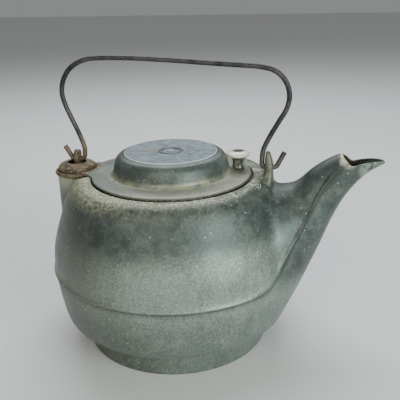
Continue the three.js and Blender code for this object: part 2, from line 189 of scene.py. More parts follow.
def new_piece(name, points_mm, faces, material, smooth=True):
    mesh = bpy.data.meshes.new(name)
    mesh.from_pydata((np.asarray(points_mm, float) * MM).tolist(), [], faces)
    mesh.validate()
    work = bmesh.new()
    work.from_mesh(mesh)
    bmesh.ops.delete(work, geom=[v for v in work.verts if not v.link_faces], context="VERTS")
    bmesh.ops.recalc_face_normals(work, faces=work.faces)
    work.to_mesh(mesh)
    work.free()
    mesh.polygons.foreach_set("use_smooth", [smooth] * len(mesh.polygons))
    mesh.materials.append(material)
    piece = bpy.data.objects.new(name, mesh)
    scene.collection.objects.link(piece)
    return piece


def bake(piece):
    """Turns a piece's modifiers into its own plain mesh."""
    bpy.context.view_layer.update()
    ready = piece.evaluated_get(bpy.context.evaluated_depsgraph_get())
    mesh = bpy.data.meshes.new_from_object(ready)
    piece.modifiers.clear()
    old = piece.data
    piece.data = mesh
    bpy.data.meshes.remove(old)
    return piece


def subdivide(piece, levels=1):
    modifier = piece.modifiers.new("smooth_skin", "SUBSURF")
    modifier.levels = levels
    modifier.render_levels = levels
    return bake(piece)


def turned(outline, segments, centre=(0.0, 0.0), closed=False):
    """Points and faces of an outline of (radius, height) turned about an upright axis."""
    points = []
    rows = []
    for radius, height in outline:
        if radius < 1e-6:
            rows.append([len(points)] * segments)
            points.append((centre[0], centre[1], height))
            continue
        rows.append(list(range(len(points), len(points) + segments)))
        for k in range(segments):
            a = 2 * math.pi * k / segments
            points.append((centre[0] + radius * math.cos(a), centre[1] + radius * math.sin(a), height))
    pairs = list(zip(rows, rows[1:]))
    if closed:
        pairs.append((rows[-1], rows[0]))
    faces = []
    for low, high in pairs:
        for k in range(segments):
            n = (k + 1) % segments
            ring = [low[k], low[n], high[n], high[k]]
            face = [v for i, v in enumerate(ring) if v != ring[i - 1]]
            if len(face) > 2:
                faces.append(face)
    return points, faces


def unite(name, parts, material, operation="UNION"):
    """Joins closed meshes, or cuts the later ones out of the first, into one piece."""
    base = new_piece(name, *parts[0], material)
    for i, part in enumerate(parts[1:]):
        tool = new_piece(f"{name}_tool_{i}", *part, material)
        cut = base.modifiers.new("join", "BOOLEAN")
        cut.operation = operation
        cut.solver = "EXACT"
        cut.object = tool
        bake(base)
        bpy.data.objects.remove(tool)
    return base


def soften_by_angle(piece, degrees):
    """Smooth shading, but with a hard edge wherever two faces meet more sharply than this."""
    mesh = piece.data
    mesh.polygons.foreach_set("use_smooth", [True] * len(mesh.polygons))
    mesh.set_sharp_from_angle(angle=math.radians(degrees))
    return piece


def count(piece):
    piece.data.calc_loop_triangles()
    return len(piece.data.loop_triangles)


# %% [markdown]
# ## Main sizes
# These few sizes drive every piece. The heights count from the flat bottom of the pit, and the radii
# from the kettle's upright axis, or for the eye from the axis that the lid turns about.

# %% Main sizes
WALL = 3.2
BELLY_RADIUS = 130.6
PIT_RADIUS = 100.0
PIT_HEIGHT = 30.4
TOP_Z = 181.7
MOUTH_RADIUS = 79.0
SEAM_Z = 88.5
LID_X = -0.7
LID_RADIUS = 83.8
LID_UNDER_Z = 182.0
FLANGE_Z = 184.5
PLATEAU_Z = 207.1
EYE_UNDER_Z = 178.2
EYE_RADIUS = 9.6
EYE_RING_RADIUS = 24.3
EYE_DISC_RADIUS = 20.6
EYE_SEAT_RADIUS = 24.9
SEAT_MARGIN = 3.4
BOSS_RADIUS = 22.0
BOSS_TOP_Z = 177.9
EAR_HOLE_RADIUS = 3.1
REAR_EAR = {"x": -106.0, "thick": 5.6, "half": 6.0, "top": 204.5}
FRONT_EAR = {"inner": 98.2, "outer": 107.0, "half": 6.4, "top": 210.3}
WIRE_RADIUS = 2.6
KNOB_LOW, KNOB_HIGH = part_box("knob")
KNOB_X = (KNOB_LOW.x + KNOB_HIGH.x) / 2 / MM
KNOB_Y = (KNOB_LOW.y + KNOB_HIGH.y) / 2 / MM
KNOB_Z = KNOB_LOW.z / MM
KNOB_HEIGHT = (KNOB_HIGH.z - KNOB_LOW.z) / MM
print("belly", round(2 * BELLY_RADIUS), "mm wide, lid's rim", 2 * LID_RADIUS, "mm wide")
print("knob", round(KNOB_HEIGHT, 1), "mm high")

# %% [markdown]
# ## A small kit for materials
# Old iron isn't one colour. Each finish below is layered the way the real surface came about: bare
# metal, then mottling, then rust, then dust, and among these some painted shade and painted reflection.
# Every pattern reads Object coordinates, which are metres on the kettle itself, so nothing slides when
# a piece moves.

# %% Material kit


class Finish:
    """One Principled material and the nodes that feed it."""

    def __init__(self, name, roughness=0.5, metallic=0.0):
        self.material = bpy.data.materials.new(name)
        self.material.use_nodes = True
        self.tree = self.material.node_tree
        self.shader = self.tree.nodes["Principled BSDF"]
        self.shader.inputs["Roughness"].default_value = roughness
        self.shader.inputs["Metallic"].default_value = metallic
        self.place = self.tree.nodes.new("ShaderNodeTexCoord").outputs["Object"]
        split = self.tree.nodes.new("ShaderNodeSeparateXYZ")
        self.tree.links.new(self.place, split.inputs[0])
        self.x, self.y, self.z = split.outputs

    def put(self, value, socket):
        if isinstance(value, (int, float)):
            socket.default_value = value
        elif isinstance(value, tuple):
            socket.default_value = value if len(value) == len(socket.default_value) else (*value, 1)
        else:
            self.tree.links.new(value, socket)

    def math(self, operation, a, b=0.0, clamp=False):
        node = self.tree.nodes.new("ShaderNodeMath")
        node.operation = operation
        node.use_clamp = clamp
        self.put(a, node.inputs[0])
        self.put(b, node.inputs[1])
        return node.outputs[0]

    def moved(self, location=(0, 0, 0), scale=(1, 1, 1)):
        node = self.tree.nodes.new("ShaderNodeMapping")
        self.tree.links.new(self.place, node.inputs["Vector"])
        node.inputs["Location"].default_value = location
        node.inputs["Scale"].default_value = scale
        return node.outputs[0]

    def noise(self, scale, detail=4.0, roughness=0.55, place=None):
        node = self.tree.nodes.new("ShaderNodeTexNoise")
        self.put(place or self.place, node.inputs["Vector"])
        node.inputs["Scale"].default_value = scale
        node.inputs["Detail"].default_value = detail
        node.inputs["Roughness"].default_value = roughness
        return node.outputs["Fac"]

    def cells(self, scale):
        node = self.tree.nodes.new("ShaderNodeTexVoronoi")
        self.put(self.place, node.inputs["Vector"])
        node.inputs["Scale"].default_value = scale
        shade = self.tree.nodes.new("ShaderNodeSeparateColor")
        self.tree.links.new(node.outputs["Color"], shade.inputs[0])
        return node.outputs["Distance"], shade.outputs[0]

    def span(self, value, low, high, to_low=0.0, to_high=1.0):
        """Maps low..high of a value to to_low..to_high with an even swell, and clamps outside."""
        node = self.tree.nodes.new("ShaderNodeMapRange")
        node.interpolation_type = "SMOOTHSTEP"
        self.put(value, node.inputs["Value"])
        node.inputs["From Min"].default_value = low
        node.inputs["From Max"].default_value = high
        node.inputs["To Min"].default_value = to_low
        node.inputs["To Max"].default_value = to_high
        return node.outputs["Result"]

    def mix(self, amount, a, b):
        node = self.tree.nodes.new("ShaderNodeMix")
        node.data_type = "RGBA"
        self.put(amount, node.inputs["Factor"])
        self.put(a, node.inputs[6])
        self.put(b, node.inputs[7])
        return node.outputs[2]

    def lay(self, amount, colour):
        """Lays a colour over the ground laid so far, as far as the amount says."""
        self.ground = self.mix(amount, self.ground, colour)

    def lay_part(self, amount, share, colour):
        """Lays a share of a colour."""
        self.lay(self.math("MULTIPLY", amount, share), colour)

    def multiply(self, *values):
        result = values[0]
        for value in values[1:]:
            result = self.math("MULTIPLY", result, value)
        return result

    def reach(self, x=0.0, y=0.0, z=None):
        """Distance from an upright line, or from a point if z is given."""
        node = self.tree.nodes.new("ShaderNodeVectorMath")
        node.operation = "LENGTH"
        scale = (1, 1, 0 if z is None else 1)
        self.tree.links.new(self.moved((-x, -y, 0 if z is None else -z), scale), node.inputs[0])
        return node.outputs["Value"]

    def bump(self, *layers):
        """Layers are (height, depth in metres, strength), from the broadest to the finest."""
        normal = None
        for height, depth, strength in layers:
            node = self.tree.nodes.new("ShaderNodeBump")
            self.put(height, node.inputs["Height"])
            node.inputs["Distance"].default_value = depth
            node.inputs["Strength"].default_value = strength
            if normal is not None:
                self.tree.links.new(normal, node.inputs["Normal"])
            normal = node.outputs["Normal"]
        self.tree.links.new(normal, self.shader.inputs["Normal"])

    def colour(self, value):
        self.put(value, self.shader.inputs["Base Color"])

    def rough(self, value):
        self.put(value, self.shader.inputs["Roughness"])


# %% [markdown]
# ## Finish of the casting
# The belly is a dark grey green: iron that was blacked many times and then left to age. From far off
# it is mottled in hand-wide clouds, close up it has the pits of the moulding sand. Water that ran down
# the sides left faint upright streaks. Mineral dust has settled on the shoulder round the lid, the
# rear boss and the ears have rusted where the bail rubs, and a few white specks are splashed about.
# Painted shade darkens the rear half, the upper belly, the spout, the underside, the rib's undercut,
# the inside of the spout and the gap round the lid.

# %% Casting finish


def casting_finish():
    iron = Finish("aged_kettle_iron", metallic=0.45)
    clouds = iron.noise(13, detail=5, roughness=0.6)
    patches = iron.noise(75, detail=7, roughness=0.7)
    grain = iron.noise(480, detail=5, roughness=0.75)
    streaks = iron.noise(1.0, detail=5, roughness=0.65, place=iron.moved(scale=(150, 150, 11)))
    iron.ground = iron.mix(iron.span(clouds, 0.3, 0.7), (0.145, 0.175, 0.138), (0.25, 0.3, 0.26))
    iron.lay(iron.span(patches, 0.4, 0.75, 0, 0.5), (0.31, 0.335, 0.29))
    iron.lay(iron.span(streaks, 0.5, 0.78, 0, 0.42), (0.40, 0.43, 0.37))
    iron.lay(iron.span(grain, 0.32, 0.52, 0.6, 0), (0.055, 0.063, 0.057))
    iron.lay(iron.span(grain, 0.53, 0.68, 0, 0.5), (0.5, 0.54, 0.5))

    top = TOP_Z * MM

    # Painted shade: the rear half and the spout's crown are painted blacker.
    old = iron.multiply(iron.span(iron.x, 0.0, -0.09, 0, 0.8), iron.span(clouds, 0.2, 0.6, 0.6, 1))
    iron.lay(old, (0.085, 0.09, 0.068))
    crown = iron.multiply(iron.span(iron.x, 0.118, 0.135), iron.span(iron.z, 0.176, 0.19, 0, 0.62))
    iron.lay(crown, (0.05, 0.058, 0.058))

    # Painted shade: a dark band round the upper belly, over the spout, and low on the belly under the rib.
    painted_shade_and_soot = iron.span(iron.math("ADD", iron.z, iron.math("MULTIPLY", clouds, 0.03)), 0.140, 0.164)
    painted_shade_and_soot = iron.math("MULTIPLY", painted_shade_and_soot, iron.span(iron.x, -0.12, -0.02, 0.3, 1))
    over_spout = iron.multiply(iron.span(iron.x, 0.108, 0.128), iron.span(iron.z, 0.06, 0.1))
    painted_shade_and_soot = iron.math("MAXIMUM", painted_shade_and_soot, over_spout)
    painted_shade_and_soot = iron.math("MAXIMUM", painted_shade_and_soot, iron.span(iron.z, 0.088, 0.06, 0, 0.4))
    iron.lay(iron.multiply(painted_shade_and_soot, iron.span(patches, 0.3, 0.7, 0.9, 0.6)), (0.026, 0.034, 0.033))

    # Dust and mineral scale on the shoulder, thickest beside the lid.
    around = iron.reach()
    flat = iron.multiply(iron.span(iron.z, top - 0.005, top - 0.001), iron.span(around, 0.11, 0.1))
    iron.lay_part(flat, 0.6, (0.045, 0.05, 0.042))
    height = iron.span(iron.z, top - 0.017, top - 0.002, 0, 0.85)
    ragged = iron.span(iron.noise(260, detail=9, roughness=0.85), 0.38, 0.64)
    near_lid = iron.span(around, 0.116, 0.09)
    left = iron.span(iron.x, 0.0, -0.06, 0.12, 0.9)
    thick = iron.math("ADD", iron.math("MULTIPLY", near_lid, 0.4), left, clamp=True)
    dust = iron.multiply(height, thick, ragged)
    dust = iron.multiply(dust, iron.span(iron.x, 0.10, 0.0, 0.35, 1.0))
    iron.lay(dust, (0.52, 0.52, 0.31))
    band = iron.multiply(iron.span(around, 0.098, 0.093), iron.span(iron.z, top - 0.003, top - 0.001))
    crust = iron.multiply(band, iron.span(iron.noise(420, detail=7, roughness=0.75), 0.47, 0.56))
    iron.lay(iron.multiply(crust, iron.span(patches, 0.35, 0.6, 0.2, 0.75)), (0.6, 0.59, 0.43))
    # Painted shadow: the gap round the lid's edge is painted near black.
    painted_gap_shadow = iron.multiply(iron.span(iron.z, top - 0.0003, top - 0.001), iron.span(around, 0.0865, 0.0858))
    painted_gap_shadow = iron.multiply(painted_gap_shadow, iron.span(iron.z, top - 0.01, top - 0.006))
    iron.lay(painted_gap_shadow, (0.012, 0.012, 0.011))

    # Rust on the rear boss and ear, and tan dust at the front ear and the spout's hood.
    pivot = iron.reach(PIVOT_X * MM)
    rear = iron.multiply(iron.span(pivot, 0.04, 0.02), iron.span(iron.z, 0.15, top - 0.004))
    iron.lay(iron.multiply(rear, iron.span(patches, 0.44, 0.52, 0.1, 0.8)), (0.42, 0.42, 0.33))
    iron.lay(iron.multiply(rear, iron.span(patches, 0.47, 0.38, 0, 0.8)), (0.06, 0.06, 0.045))
    ear = iron.multiply(iron.span(pivot, 0.014, 0.01), iron.span(iron.z, top - 0.003, top + 0.004))
    iron.lay(ear, (0.2, 0.15, 0.095))
    iron.lay(iron.multiply(ear, iron.span(patches, 0.45, 0.55, 0, 0.8)), (0.05, 0.04, 0.03))
    front = iron.span(iron.reach(0.1), 0.032, 0.010)
    upper = iron.span(iron.z, top - 0.006, top + 0.004)
    tan = iron.multiply(front, upper, iron.span(patches, 0.3, 0.6, 0.35, 0.9))
    iron.lay(tan, (0.18, 0.185, 0.13))
    chalk = iron.span(iron.noise(330, detail=5), 0.38, 0.46)
    lip = iron.multiply(iron.span(iron.reach(0.179, 0, 0.205), 0.016, 0.011), chalk)
    iron.lay(iron.multiply(lip, iron.span(iron.x, 0.170, 0.175)), (0.64, 0.58, 0.44))
    green = iron.multiply(iron.span(iron.x, 0.188, 0.196), iron.span(patches, 0.42, 0.58, 0, 0.6))
    iron.lay(green, (0.34, 0.42, 0.33))

    # Painted shade under the parting rib and inside the spout, read from a mesh attribute.
    painted_crevice_shade = iron.tree.nodes.new("ShaderNodeAttribute")
    painted_crevice_shade.attribute_name = "painted_crevice_shade"
    iron.lay_part(painted_crevice_shade.outputs["Fac"], 0.8, (0.022, 0.02, 0.017))

    # White specks, large and rare, or small and many.
    for scale, size, rare, strength in ((68, 0.055, 0.72, 0.8), (210, 0.15, 0.8, 0.45)):
        distance, chance = iron.cells(scale)
        speck = iron.multiply(iron.span(distance, size, size * 0.6), iron.span(chance, rare, rare + 0.02))
        iron.lay(iron.math("MULTIPLY", speck, strength), (0.85, 0.87, 0.8))
    iron.colour(iron.ground)

    worn = iron.span(patches, 0.3, 0.7, 0.36, 0.52)
    dusty = iron.math("MULTIPLY", dust, 0.35)
    iron.rough(iron.math("ADD", worn, dusty, clamp=True))
    iron.bump((patches, 0.0010, 0.22), (iron.noise(380, detail=5), 0.0005, 0.4), (grain, 0.0002, 0.45))
    return iron.material


CASTING = casting_finish()
print("casting finish:", len(CASTING.node_tree.nodes), "nodes")

# %% [markdown]
# ## The casting: belly, pit and spout in one skin
# On the real kettle these are one pour of iron, so they are one continuous mesh here. A belly alone
# could be a lathe and a spout alone a loft, but laying one over the other leaves a hard crease. So the
# belly is a grid of rows and columns with a window left open at the front, and the spout's rings grow
# out of that window with the same number of points. The inner wall is a second, slightly smaller
# grid, joined to the first at the fill opening and at the mouth of the spout.

# %% Half outline of the belly
RIB_ROWS = (-2.4, -0.5, 0.2, 1.8, 3.8)
RIB_HEIGHTS = (0, -0.3, 2.0, 1.6, 0.4)
RIB_PAINTED_SHADE = (0.4, 1.0, 0.5, 0.0, 0.0)
CHIP_DEPTH = 0.22
CHIP_SEED = 7

BELLY = smooth_curve([
    (113, PIT_HEIGHT + 0.6), (121, 34.4), (125.4, 48.5), (129.4, 75.5), (BELLY_RADIUS, 97.5),
    (127.9, 119.5), (118, 149.1), (110.2, 168), (103.6, 177.7), (94, TOP_Z),
], 400)


def belly_radius(height):
    return np.interp(height, BELLY[:, 1], BELLY[:, 0])


def belly_rows():
    """Heights of the rows that the spout's window cuts across, close together at the parting rib."""
    below = np.linspace(33.2, SEAM_Z + RIB_ROWS[0] - 4.5, 12)
    above = np.linspace(SEAM_Z + RIB_ROWS[-1] + 4.5, 174.5, 18)
    return np.concatenate([below, SEAM_Z + np.array(RIB_ROWS), above])


WINDOW_HEIGHTS = belly_rows()
FOOT = [
    (30, 0), (60, 0), (85, 0), (95, 0), (98.6, 0.1), (99.7, 0.6), (PIT_RADIUS, 1.8),
    (PIT_RADIUS + 0.2, 6), (PIT_RADIUS + 0.8, 17), (PIT_RADIUS + 1.3, 25), (PIT_RADIUS + 1.6, 28.3),
    (PIT_RADIUS + 2.6, 29.9), (PIT_RADIUS + 4.6, 30.4), (PIT_RADIUS + 9, 30.5), (114, 31.2),
]
SHOULDER = [
    (104.8, TOP_Z - 5.3), (102.4, TOP_Z - 3.1), (99.6, TOP_Z - 1.5), (96.6, TOP_Z - 0.5),
    (93.4, TOP_Z - 0.1), (90, TOP_Z), (87.2, TOP_Z), (85.9, TOP_Z - 0.3), (85.4, TOP_Z - 0.9),
    (85.2, TOP_Z - 1.7), (84, TOP_Z - 1.9), (82.9, TOP_Z - 1.7), (82.6, TOP_Z - 0.9),
    (82.1, TOP_Z - 0.2), (80.8, TOP_Z), (79.6, TOP_Z - 0.2), (MOUTH_RADIUS, TOP_Z - 0.9),
]
INNER_TOP = [
    (79.1, TOP_Z - 2.3), (80, TOP_Z - 3.1), (84, TOP_Z - 3.3), (90, TOP_Z - 3.4),
    (95.4, TOP_Z - 4.3), (99.4, TOP_Z - 6.6),
]
print("belly rows:", len(FOOT) + len(WINDOW_HEIGHTS) + len(SHOULDER))

# %% [markdown]
# The rear boss carries the lid's eye. It is an upright round post that swells out of the shoulder, so
# along the belly's grid it is only a larger radius near the rear: the far side of a circle about the
# pivot, blended into the belly over a few millimetres.

# %% Columns, boss and grids
WINDOW_HALF = math.radians(27)
WINDOW_COLUMNS = 20
SEAT_PAD_RADIUS = 28.0


def belly_columns():
    front = np.linspace(-WINDOW_HALF, WINDOW_HALF, WINDOW_COLUMNS + 1)
    boss = np.radians(np.linspace(162, 198, 17))
    left = np.linspace(WINDOW_HALF, boss[0], 37)[1:-1]
    right = np.linspace(boss[-1], 2 * math.pi - WINDOW_HALF, 37)[1:-1]
    return np.concatenate([front, left, boss, right])


def smooth_max(a, b, blend):
    h = np.clip(0.5 + 0.5 * (a - b) / blend, 0, 1)
    return b * (1 - h) + a * h + blend * h * (1 - h)


def boss_reach(turn):
    """Distance from the kettle's axis to the far side of the boss, along a column."""
    off = abs(turn - math.pi)
    across = abs(PIVOT_X) * math.sin(off)
    if off > math.pi / 2 or across >= BOSS_RADIUS:
        return 0.0
    return abs(PIVOT_X) * math.cos(off) + math.sqrt(BOSS_RADIUS ** 2 - across ** 2)


def outer_point(radius, height, turn):
    """A point of the outer skin. The seat's wall is a grid cell wide, so it starts past the lid's eye."""
    far = boss_reach(turn)
    if far and radius > 95 and height > 100:
        start = float(step(96, 128, height))
        radius = radius + start * (float(smooth_max(far, radius, 5.0)) - radius)
    x = radius * math.cos(turn)
    y = radius * math.sin(turn)
    if math.hypot(x - PIVOT_X, y) < EYE_SEAT_RADIUS + SEAT_MARGIN:
        height = min(height, BOSS_TOP_Z)
    return x, y, height


def inner_point(radius, height, turn):
    """A point of the inner wall; under the eye's seat the wall is thicker, so it stays lower there."""
    x = radius * math.cos(turn)
    y = radius * math.sin(turn)
    off = math.hypot(x - PIVOT_X, y)
    if off < SEAT_PAD_RADIUS and height > BOSS_TOP_Z - WALL:
        sink = float(step(SEAT_PAD_RADIUS, SEAT_PAD_RADIUS - 3, off))
        height += (BOSS_TOP_Z - WALL - height) * sink
    return x, y, height


def inner_row(radius, height):
    """The inner wall beside an outer row, one wall's thickness in."""
    slope = (belly_radius(height + 1) - belly_radius(height - 1)) / 2
    length = math.hypot(1, slope)
    return radius - WALL / length, height + WALL * slope / length


COLUMNS = belly_columns()
outer_rows = FOOT + [(float(belly_radius(z)), float(z)) for z in WINDOW_HEIGHTS] + SHOULDER
inner_window = [inner_row(float(belly_radius(z)), float(z)) for z in WINDOW_HEIGHTS]
INNER_FOOT = [
    (115, 34.4), (108, 33.9), (100, 33.7), (98.2, 32.2), (97.8, 26), (97.2, 14), (96.8, 5.4),
    (95.6, 3.6), (91, WALL), (60, WALL), (30, WALL),
]
inner_rows = INNER_TOP + inner_window[::-1] + INNER_FOOT
print("columns:", len(COLUMNS), " rows outside and inside:", len(outer_rows), len(inner_rows))

# %% [markdown]
# The spout is described by stations. Each has the place of its keel (underside), of its crown (top)
# and half its width, and its section is an oval between them. The parting rib starts near the widest
# line and climbs towards the hood. Every long line of the spout then runs outwards until it meets
# the cut of the mouth: a hood above and a flat rim below, which makes the open beak at the tip.

# %% Stations of the spout
STATIONS = np.array([
    # keel x, keel z, crown x, crown z, half width, rib's turn from the keel in degrees
    (130, 39.5, 106, 175.5, 54, 86),
    (137.5, 65.5, 117, 175.9, 45, 89),
    (146, 87.5, 126, 177.5, 37, 92),
    (157, 115.5, 134.5, 183, 30, 95.5),
    (167, 142.5, 144, 192.5, 24, 99.5),
    (178, 165.5, 155, 201, 18.5, 104.5),
    (188, 180, 166, 207.5, 14.6, 110),
    (195, 187.8, 174, 211, 12.4, 114),
    (203, 194.7, 187, 215.5, 10, 118),
    (209.8, 199.4, 201, 217, 7.6, 118),
    (215.4, 202.6, 211.5, 217, 4.6, 118),
])
MOUTH_CUT = np.array([
    (174.6, 209.9), (183.2, 201.4), (184.8, 200.5), (192, 203.0), (202, 205.0), (210, 205.2), (216, 204.4),
])
LOWER_STEPS = WINDOW_COLUMNS // 2 + int(np.argmin(abs(WINDOW_HEIGHTS - SEAM_Z)))
HALF_STEPS = WINDOW_COLUMNS + len(WINDOW_HEIGHTS) - 1
DENSE = smooth_curve(STATIONS, 501)


def spout_point(steps, along, thin):
    """A point of the spout: steps round from the keel, along the stations, in by a thickness."""
    places = np.linspace(0, len(STATIONS) - 1, len(DENSE))
    row = np.array([np.interp(along, places, DENSE[:, c]) for c in range(DENSE.shape[1])])
    keel = row[0:2]
    crown = row[2:4]
    middle = (keel + crown) / 2
    reach = np.linalg.norm(crown - keel) / 2
    down = (keel - middle) / reach
    seam = math.radians(row[5])
    n = steps if steps <= HALF_STEPS else 2 * HALF_STEPS - steps
    side = 1 if steps <= HALF_STEPS else -1
    off = n - LOWER_STEPS
    edge = RIB_ROWS[-1] / reach
    if abs(off) <= 2:
        turn = seam + RIB_ROWS[off + 2] / reach
    elif off < 0:
        turn = (seam - edge) * n / (LOWER_STEPS - 2)
    else:
        turn = seam + edge + (math.pi - seam - edge) * (off - 2) / (HALF_STEPS - LOWER_STEPS - 2)
    inward = min(thin, 0.55 * row[4])
    place = middle + down * (reach - inward) * math.cos(turn)
    return np.array([place[0], side * (row[4] - inward) * math.sin(turn), place[1]])


def past_cut(point):
    """How far a point stands above the mouth's cut; negative below it or behind the hood."""
    if point[0] < MOUTH_CUT[0, 0]:
        return -1.0
    return point[2] - float(np.interp(point[0], MOUTH_CUT[:, 0], MOUTH_CUT[:, 1]))


def line_end(steps, inward):
    """Where a long line of the spout meets the cut of the mouth, in stations."""
    last = len(STATIONS) - 1.0
    low = 0.0
    high = last
    for along in np.linspace(5, last, 61):
        if past_cut(spout_point(steps, along, inward(along))) > 0:
            high = along
            break
        low = along
    if high == last and low == last:
        return last
    for _ in range(12):
        middle = (low + high) / 2
        if past_cut(spout_point(steps, middle, inward(middle))) > 0:
            high = middle
        else:
            low = middle
    return low


def spout_rings(inward, rings=34):
    """Rings of the spout from its root to its mouth, every one with the window's count of points."""
    around = 2 * HALF_STEPS
    ends = [line_end(k, inward) for k in range(around)]
    made = []
    for j in range(rings):
        share = j / (rings - 1)
        made.append([spout_point(k, ends[k] * share, inward(ends[k] * share)) for k in range(around)])
    return np.array(made)


outer_spout = spout_rings(lambda along: 0.0)
inner_spout = spout_rings(lambda along: WALL - 0.085 * along)
print("spout lines:", 2 * HALF_STEPS, " mouth from x", outer_spout[-1, :, 0].min().round(1),
      "to", outer_spout[-1, :, 0].max().round(1))

# %% [markdown]
# Now the pieces of skin are sewn together. The window's edge is walked in the same order as the
# spout's rings, a few rings bridge the two, and the bridge is relaxed like a soap film, with the rule
# that it never sinks into the belly. Last the parting rib is pushed out along the skin's own normals,
# so it runs round the belly and on up both sides of the spout without a break.

# %% Sew the casting
BRIDGE_RINGS = 6
ACROSS = len(COLUMNS)


def grid_points(rows, point):
    return np.array([[point(r, z, a) for a in COLUMNS] for r, z in rows]).reshape(-1, 3)


def window_walk(first_row, last_row, offset):
    """Grid numbers along the window's edge: keel, up the +Y side, crown, down the other side."""
    middle = WINDOW_COLUMNS // 2
    up = 1 if last_row > first_row else -1
    rows = list(range(first_row, last_row + up, up))
    walk = [(first_row, c) for c in range(middle, WINDOW_COLUMNS)]
    walk += [(r, WINDOW_COLUMNS) for r in rows[:-1]]
    walk += [(last_row, c) for c in range(WINDOW_COLUMNS, 0, -1)]
    walk += [(r, 0) for r in rows[::-1][:-1]]
    walk += [(first_row, c) for c in range(0, middle)]
    return [offset + r * ACROSS + c for r, c in walk]


def grid_faces(row_count, offset, window):
    low, high = sorted(window)
    faces = []
    for r in range(row_count - 1):
        for c in range(ACROSS):
            if low <= r < high and c < WINDOW_COLUMNS:
                continue
            n = (c + 1) % ACROSS
            a = offset + r * ACROSS
            faces.append([a + c, a + n, a + ACROSS + n, a + ACROSS + c])
    return faces


def ring_faces(rings):
    faces = []
    for low, high in zip(rings, rings[1:]):
        for k in range(len(low)):
            n = (k + 1) % len(low)
            faces.append([low[k], low[n], high[n], high[k]])
    return faces


def sew_casting():
    outer = grid_points(outer_rows, outer_point)
    inner = grid_points(inner_rows, inner_point)
    points = [outer, inner]
    outer_window = (len(FOOT), len(FOOT) + len(WINDOW_HEIGHTS) - 1)
    inner_window_rows = (len(INNER_TOP) + len(WINDOW_HEIGHTS) - 1, len(INNER_TOP))
    start = len(outer)
    faces = grid_faces(len(outer_rows), 0, outer_window)
    faces += grid_faces(len(inner_rows), start, inner_window_rows)
    lip = [(len(outer_rows) - 1) * ACROSS + c for c in range(ACROSS)]
    faces += ring_faces([lip, list(range(start, start + ACROSS))])
    total = start + len(inner)
    bottom_outer = total
    bottom_inner = total + 1
    points.append(np.array([(0, 0, 0), (0, 0, WALL)], float))
    last_inner = start + (len(inner_rows) - 1) * ACROSS
    faces += [[bottom_outer, (c + 1) % ACROSS, c] for c in range(ACROSS)]
    faces += [[bottom_inner, last_inner + c, last_inner + (c + 1) % ACROSS] for c in range(ACROSS)]
    total += 2

    soft = {}
    mouths = []
    everything = np.vstack(points)
    walks = [window_walk(*outer_window, 0), window_walk(*inner_window_rows, start)]
    for walk, spout in zip(walks, (outer_spout, inner_spout)):
        edge = everything[walk]
        rings = [walk]
        for j in range(1, BRIDGE_RINGS + 1):
            share = j / (BRIDGE_RINGS + 1)
            points.append(edge * (1 - share) + spout[0] * share)
            rings.append(list(range(total, total + len(walk))))
            soft.update({v: 1.0 for v in rings[-1]})
            total += len(walk)
        for j, ring in enumerate(spout):
            points.append(ring)
            rings.append(list(range(total, total + len(walk))))
            soft.update({v: max(0.0, 1 - j / 7) for v in rings[-1]})
            total += len(walk)
        soft.update({v: 0.8 for v in walk})
        faces += ring_faces(rings)
        mouths.append(rings)
    faces += ring_faces([mouths[0][-1], mouths[1][-1]])
    return np.vstack(points), faces, soft, mouths[0], mouths[1]


casting_points, casting_faces, soft_points, spout_walk, inside_walk = sew_casting()
print("casting:", len(casting_points), "points,", len(casting_faces), "faces")

# %% Relax the joint of belly and spout


def neighbours(faces, total):
    pairs = set()
    for face in faces:
        for a, b in zip(face, face[1:] + face[:1]):
            pairs.add((a, b))
            pairs.add((b, a))
    pairs = np.array(sorted(pairs))
    return pairs[:, 0], pairs[:, 1], np.maximum(np.bincount(pairs[:, 0], minlength=total), 1)


def relax(points, faces, soft, rounds=90):
    """Moves soft points towards the middle of their neighbours, never inside the belly's skin."""
    here, there, valence = neighbours(faces, len(points))
    near = dict(soft)
    for _ in range(3):
        known = np.zeros(len(points))
        known[list(near)] = list(near.values())
        spread = np.zeros(len(points))
        np.maximum.at(spread, here, known[there] * 0.7)
        for v in np.nonzero(spread > known)[0]:
            near[int(v)] = float(spread[v])
    weight = np.zeros(len(points))
    weight[list(near)] = list(near.values())
    outside = np.zeros(len(points), bool)
    outside[: len(outer_rows) * ACROSS] = True
    for ring in spout_walk:
        outside[ring] = True
    guard = outside & (weight > 0)
    moved = points.copy()
    for _ in range(rounds):
        mean = np.stack(
            [np.bincount(here, moved[there, c], minlength=len(points)) / valence for c in range(3)], 1
        )
        moved += (mean - moved) * (0.5 * weight)[:, None]
        around = np.hypot(moved[:, 0], moved[:, 1])
        least = belly_radius(np.clip(moved[:, 2], PIT_HEIGHT + 1.5, TOP_Z - 1))
        short = guard & (around < least) & (moved[:, 2] < TOP_Z - 6)
        grow = np.where(short, least / np.maximum(around, 1), 1.0)
        moved[:, 0] *= grow
        moved[:, 1] *= grow
    return moved


relaxed = relax(casting_points, casting_faces, soft_points)
print("largest move in mm:", round(float(np.abs(relaxed - casting_points).max()), 2))

# %% Raise the parting rib and finish the skin


def rib_values(values, fade_at_mouth):
    """A value for each point along the rib, by point number, fading out at the mouth if asked."""
    result = {}
    first = len(FOOT) + int(np.argmin(abs(WINDOW_HEIGHTS - SEAM_Z))) - 2
    for k, value in enumerate(values):
        for c in [0, *range(WINDOW_COLUMNS, ACROSS)]:
            result[(first + k) * ACROSS + c] = value
        for j, ring in enumerate(spout_walk):
            fade = 1 - fade_at_mouth * float(step(0.86, 1.0, j / (len(spout_walk) - 1)))
            result[ring[LOWER_STEPS - 2 + k]] = value * fade
            result[ring[-(LOWER_STEPS - 2 + k)]] = value * fade
    return result


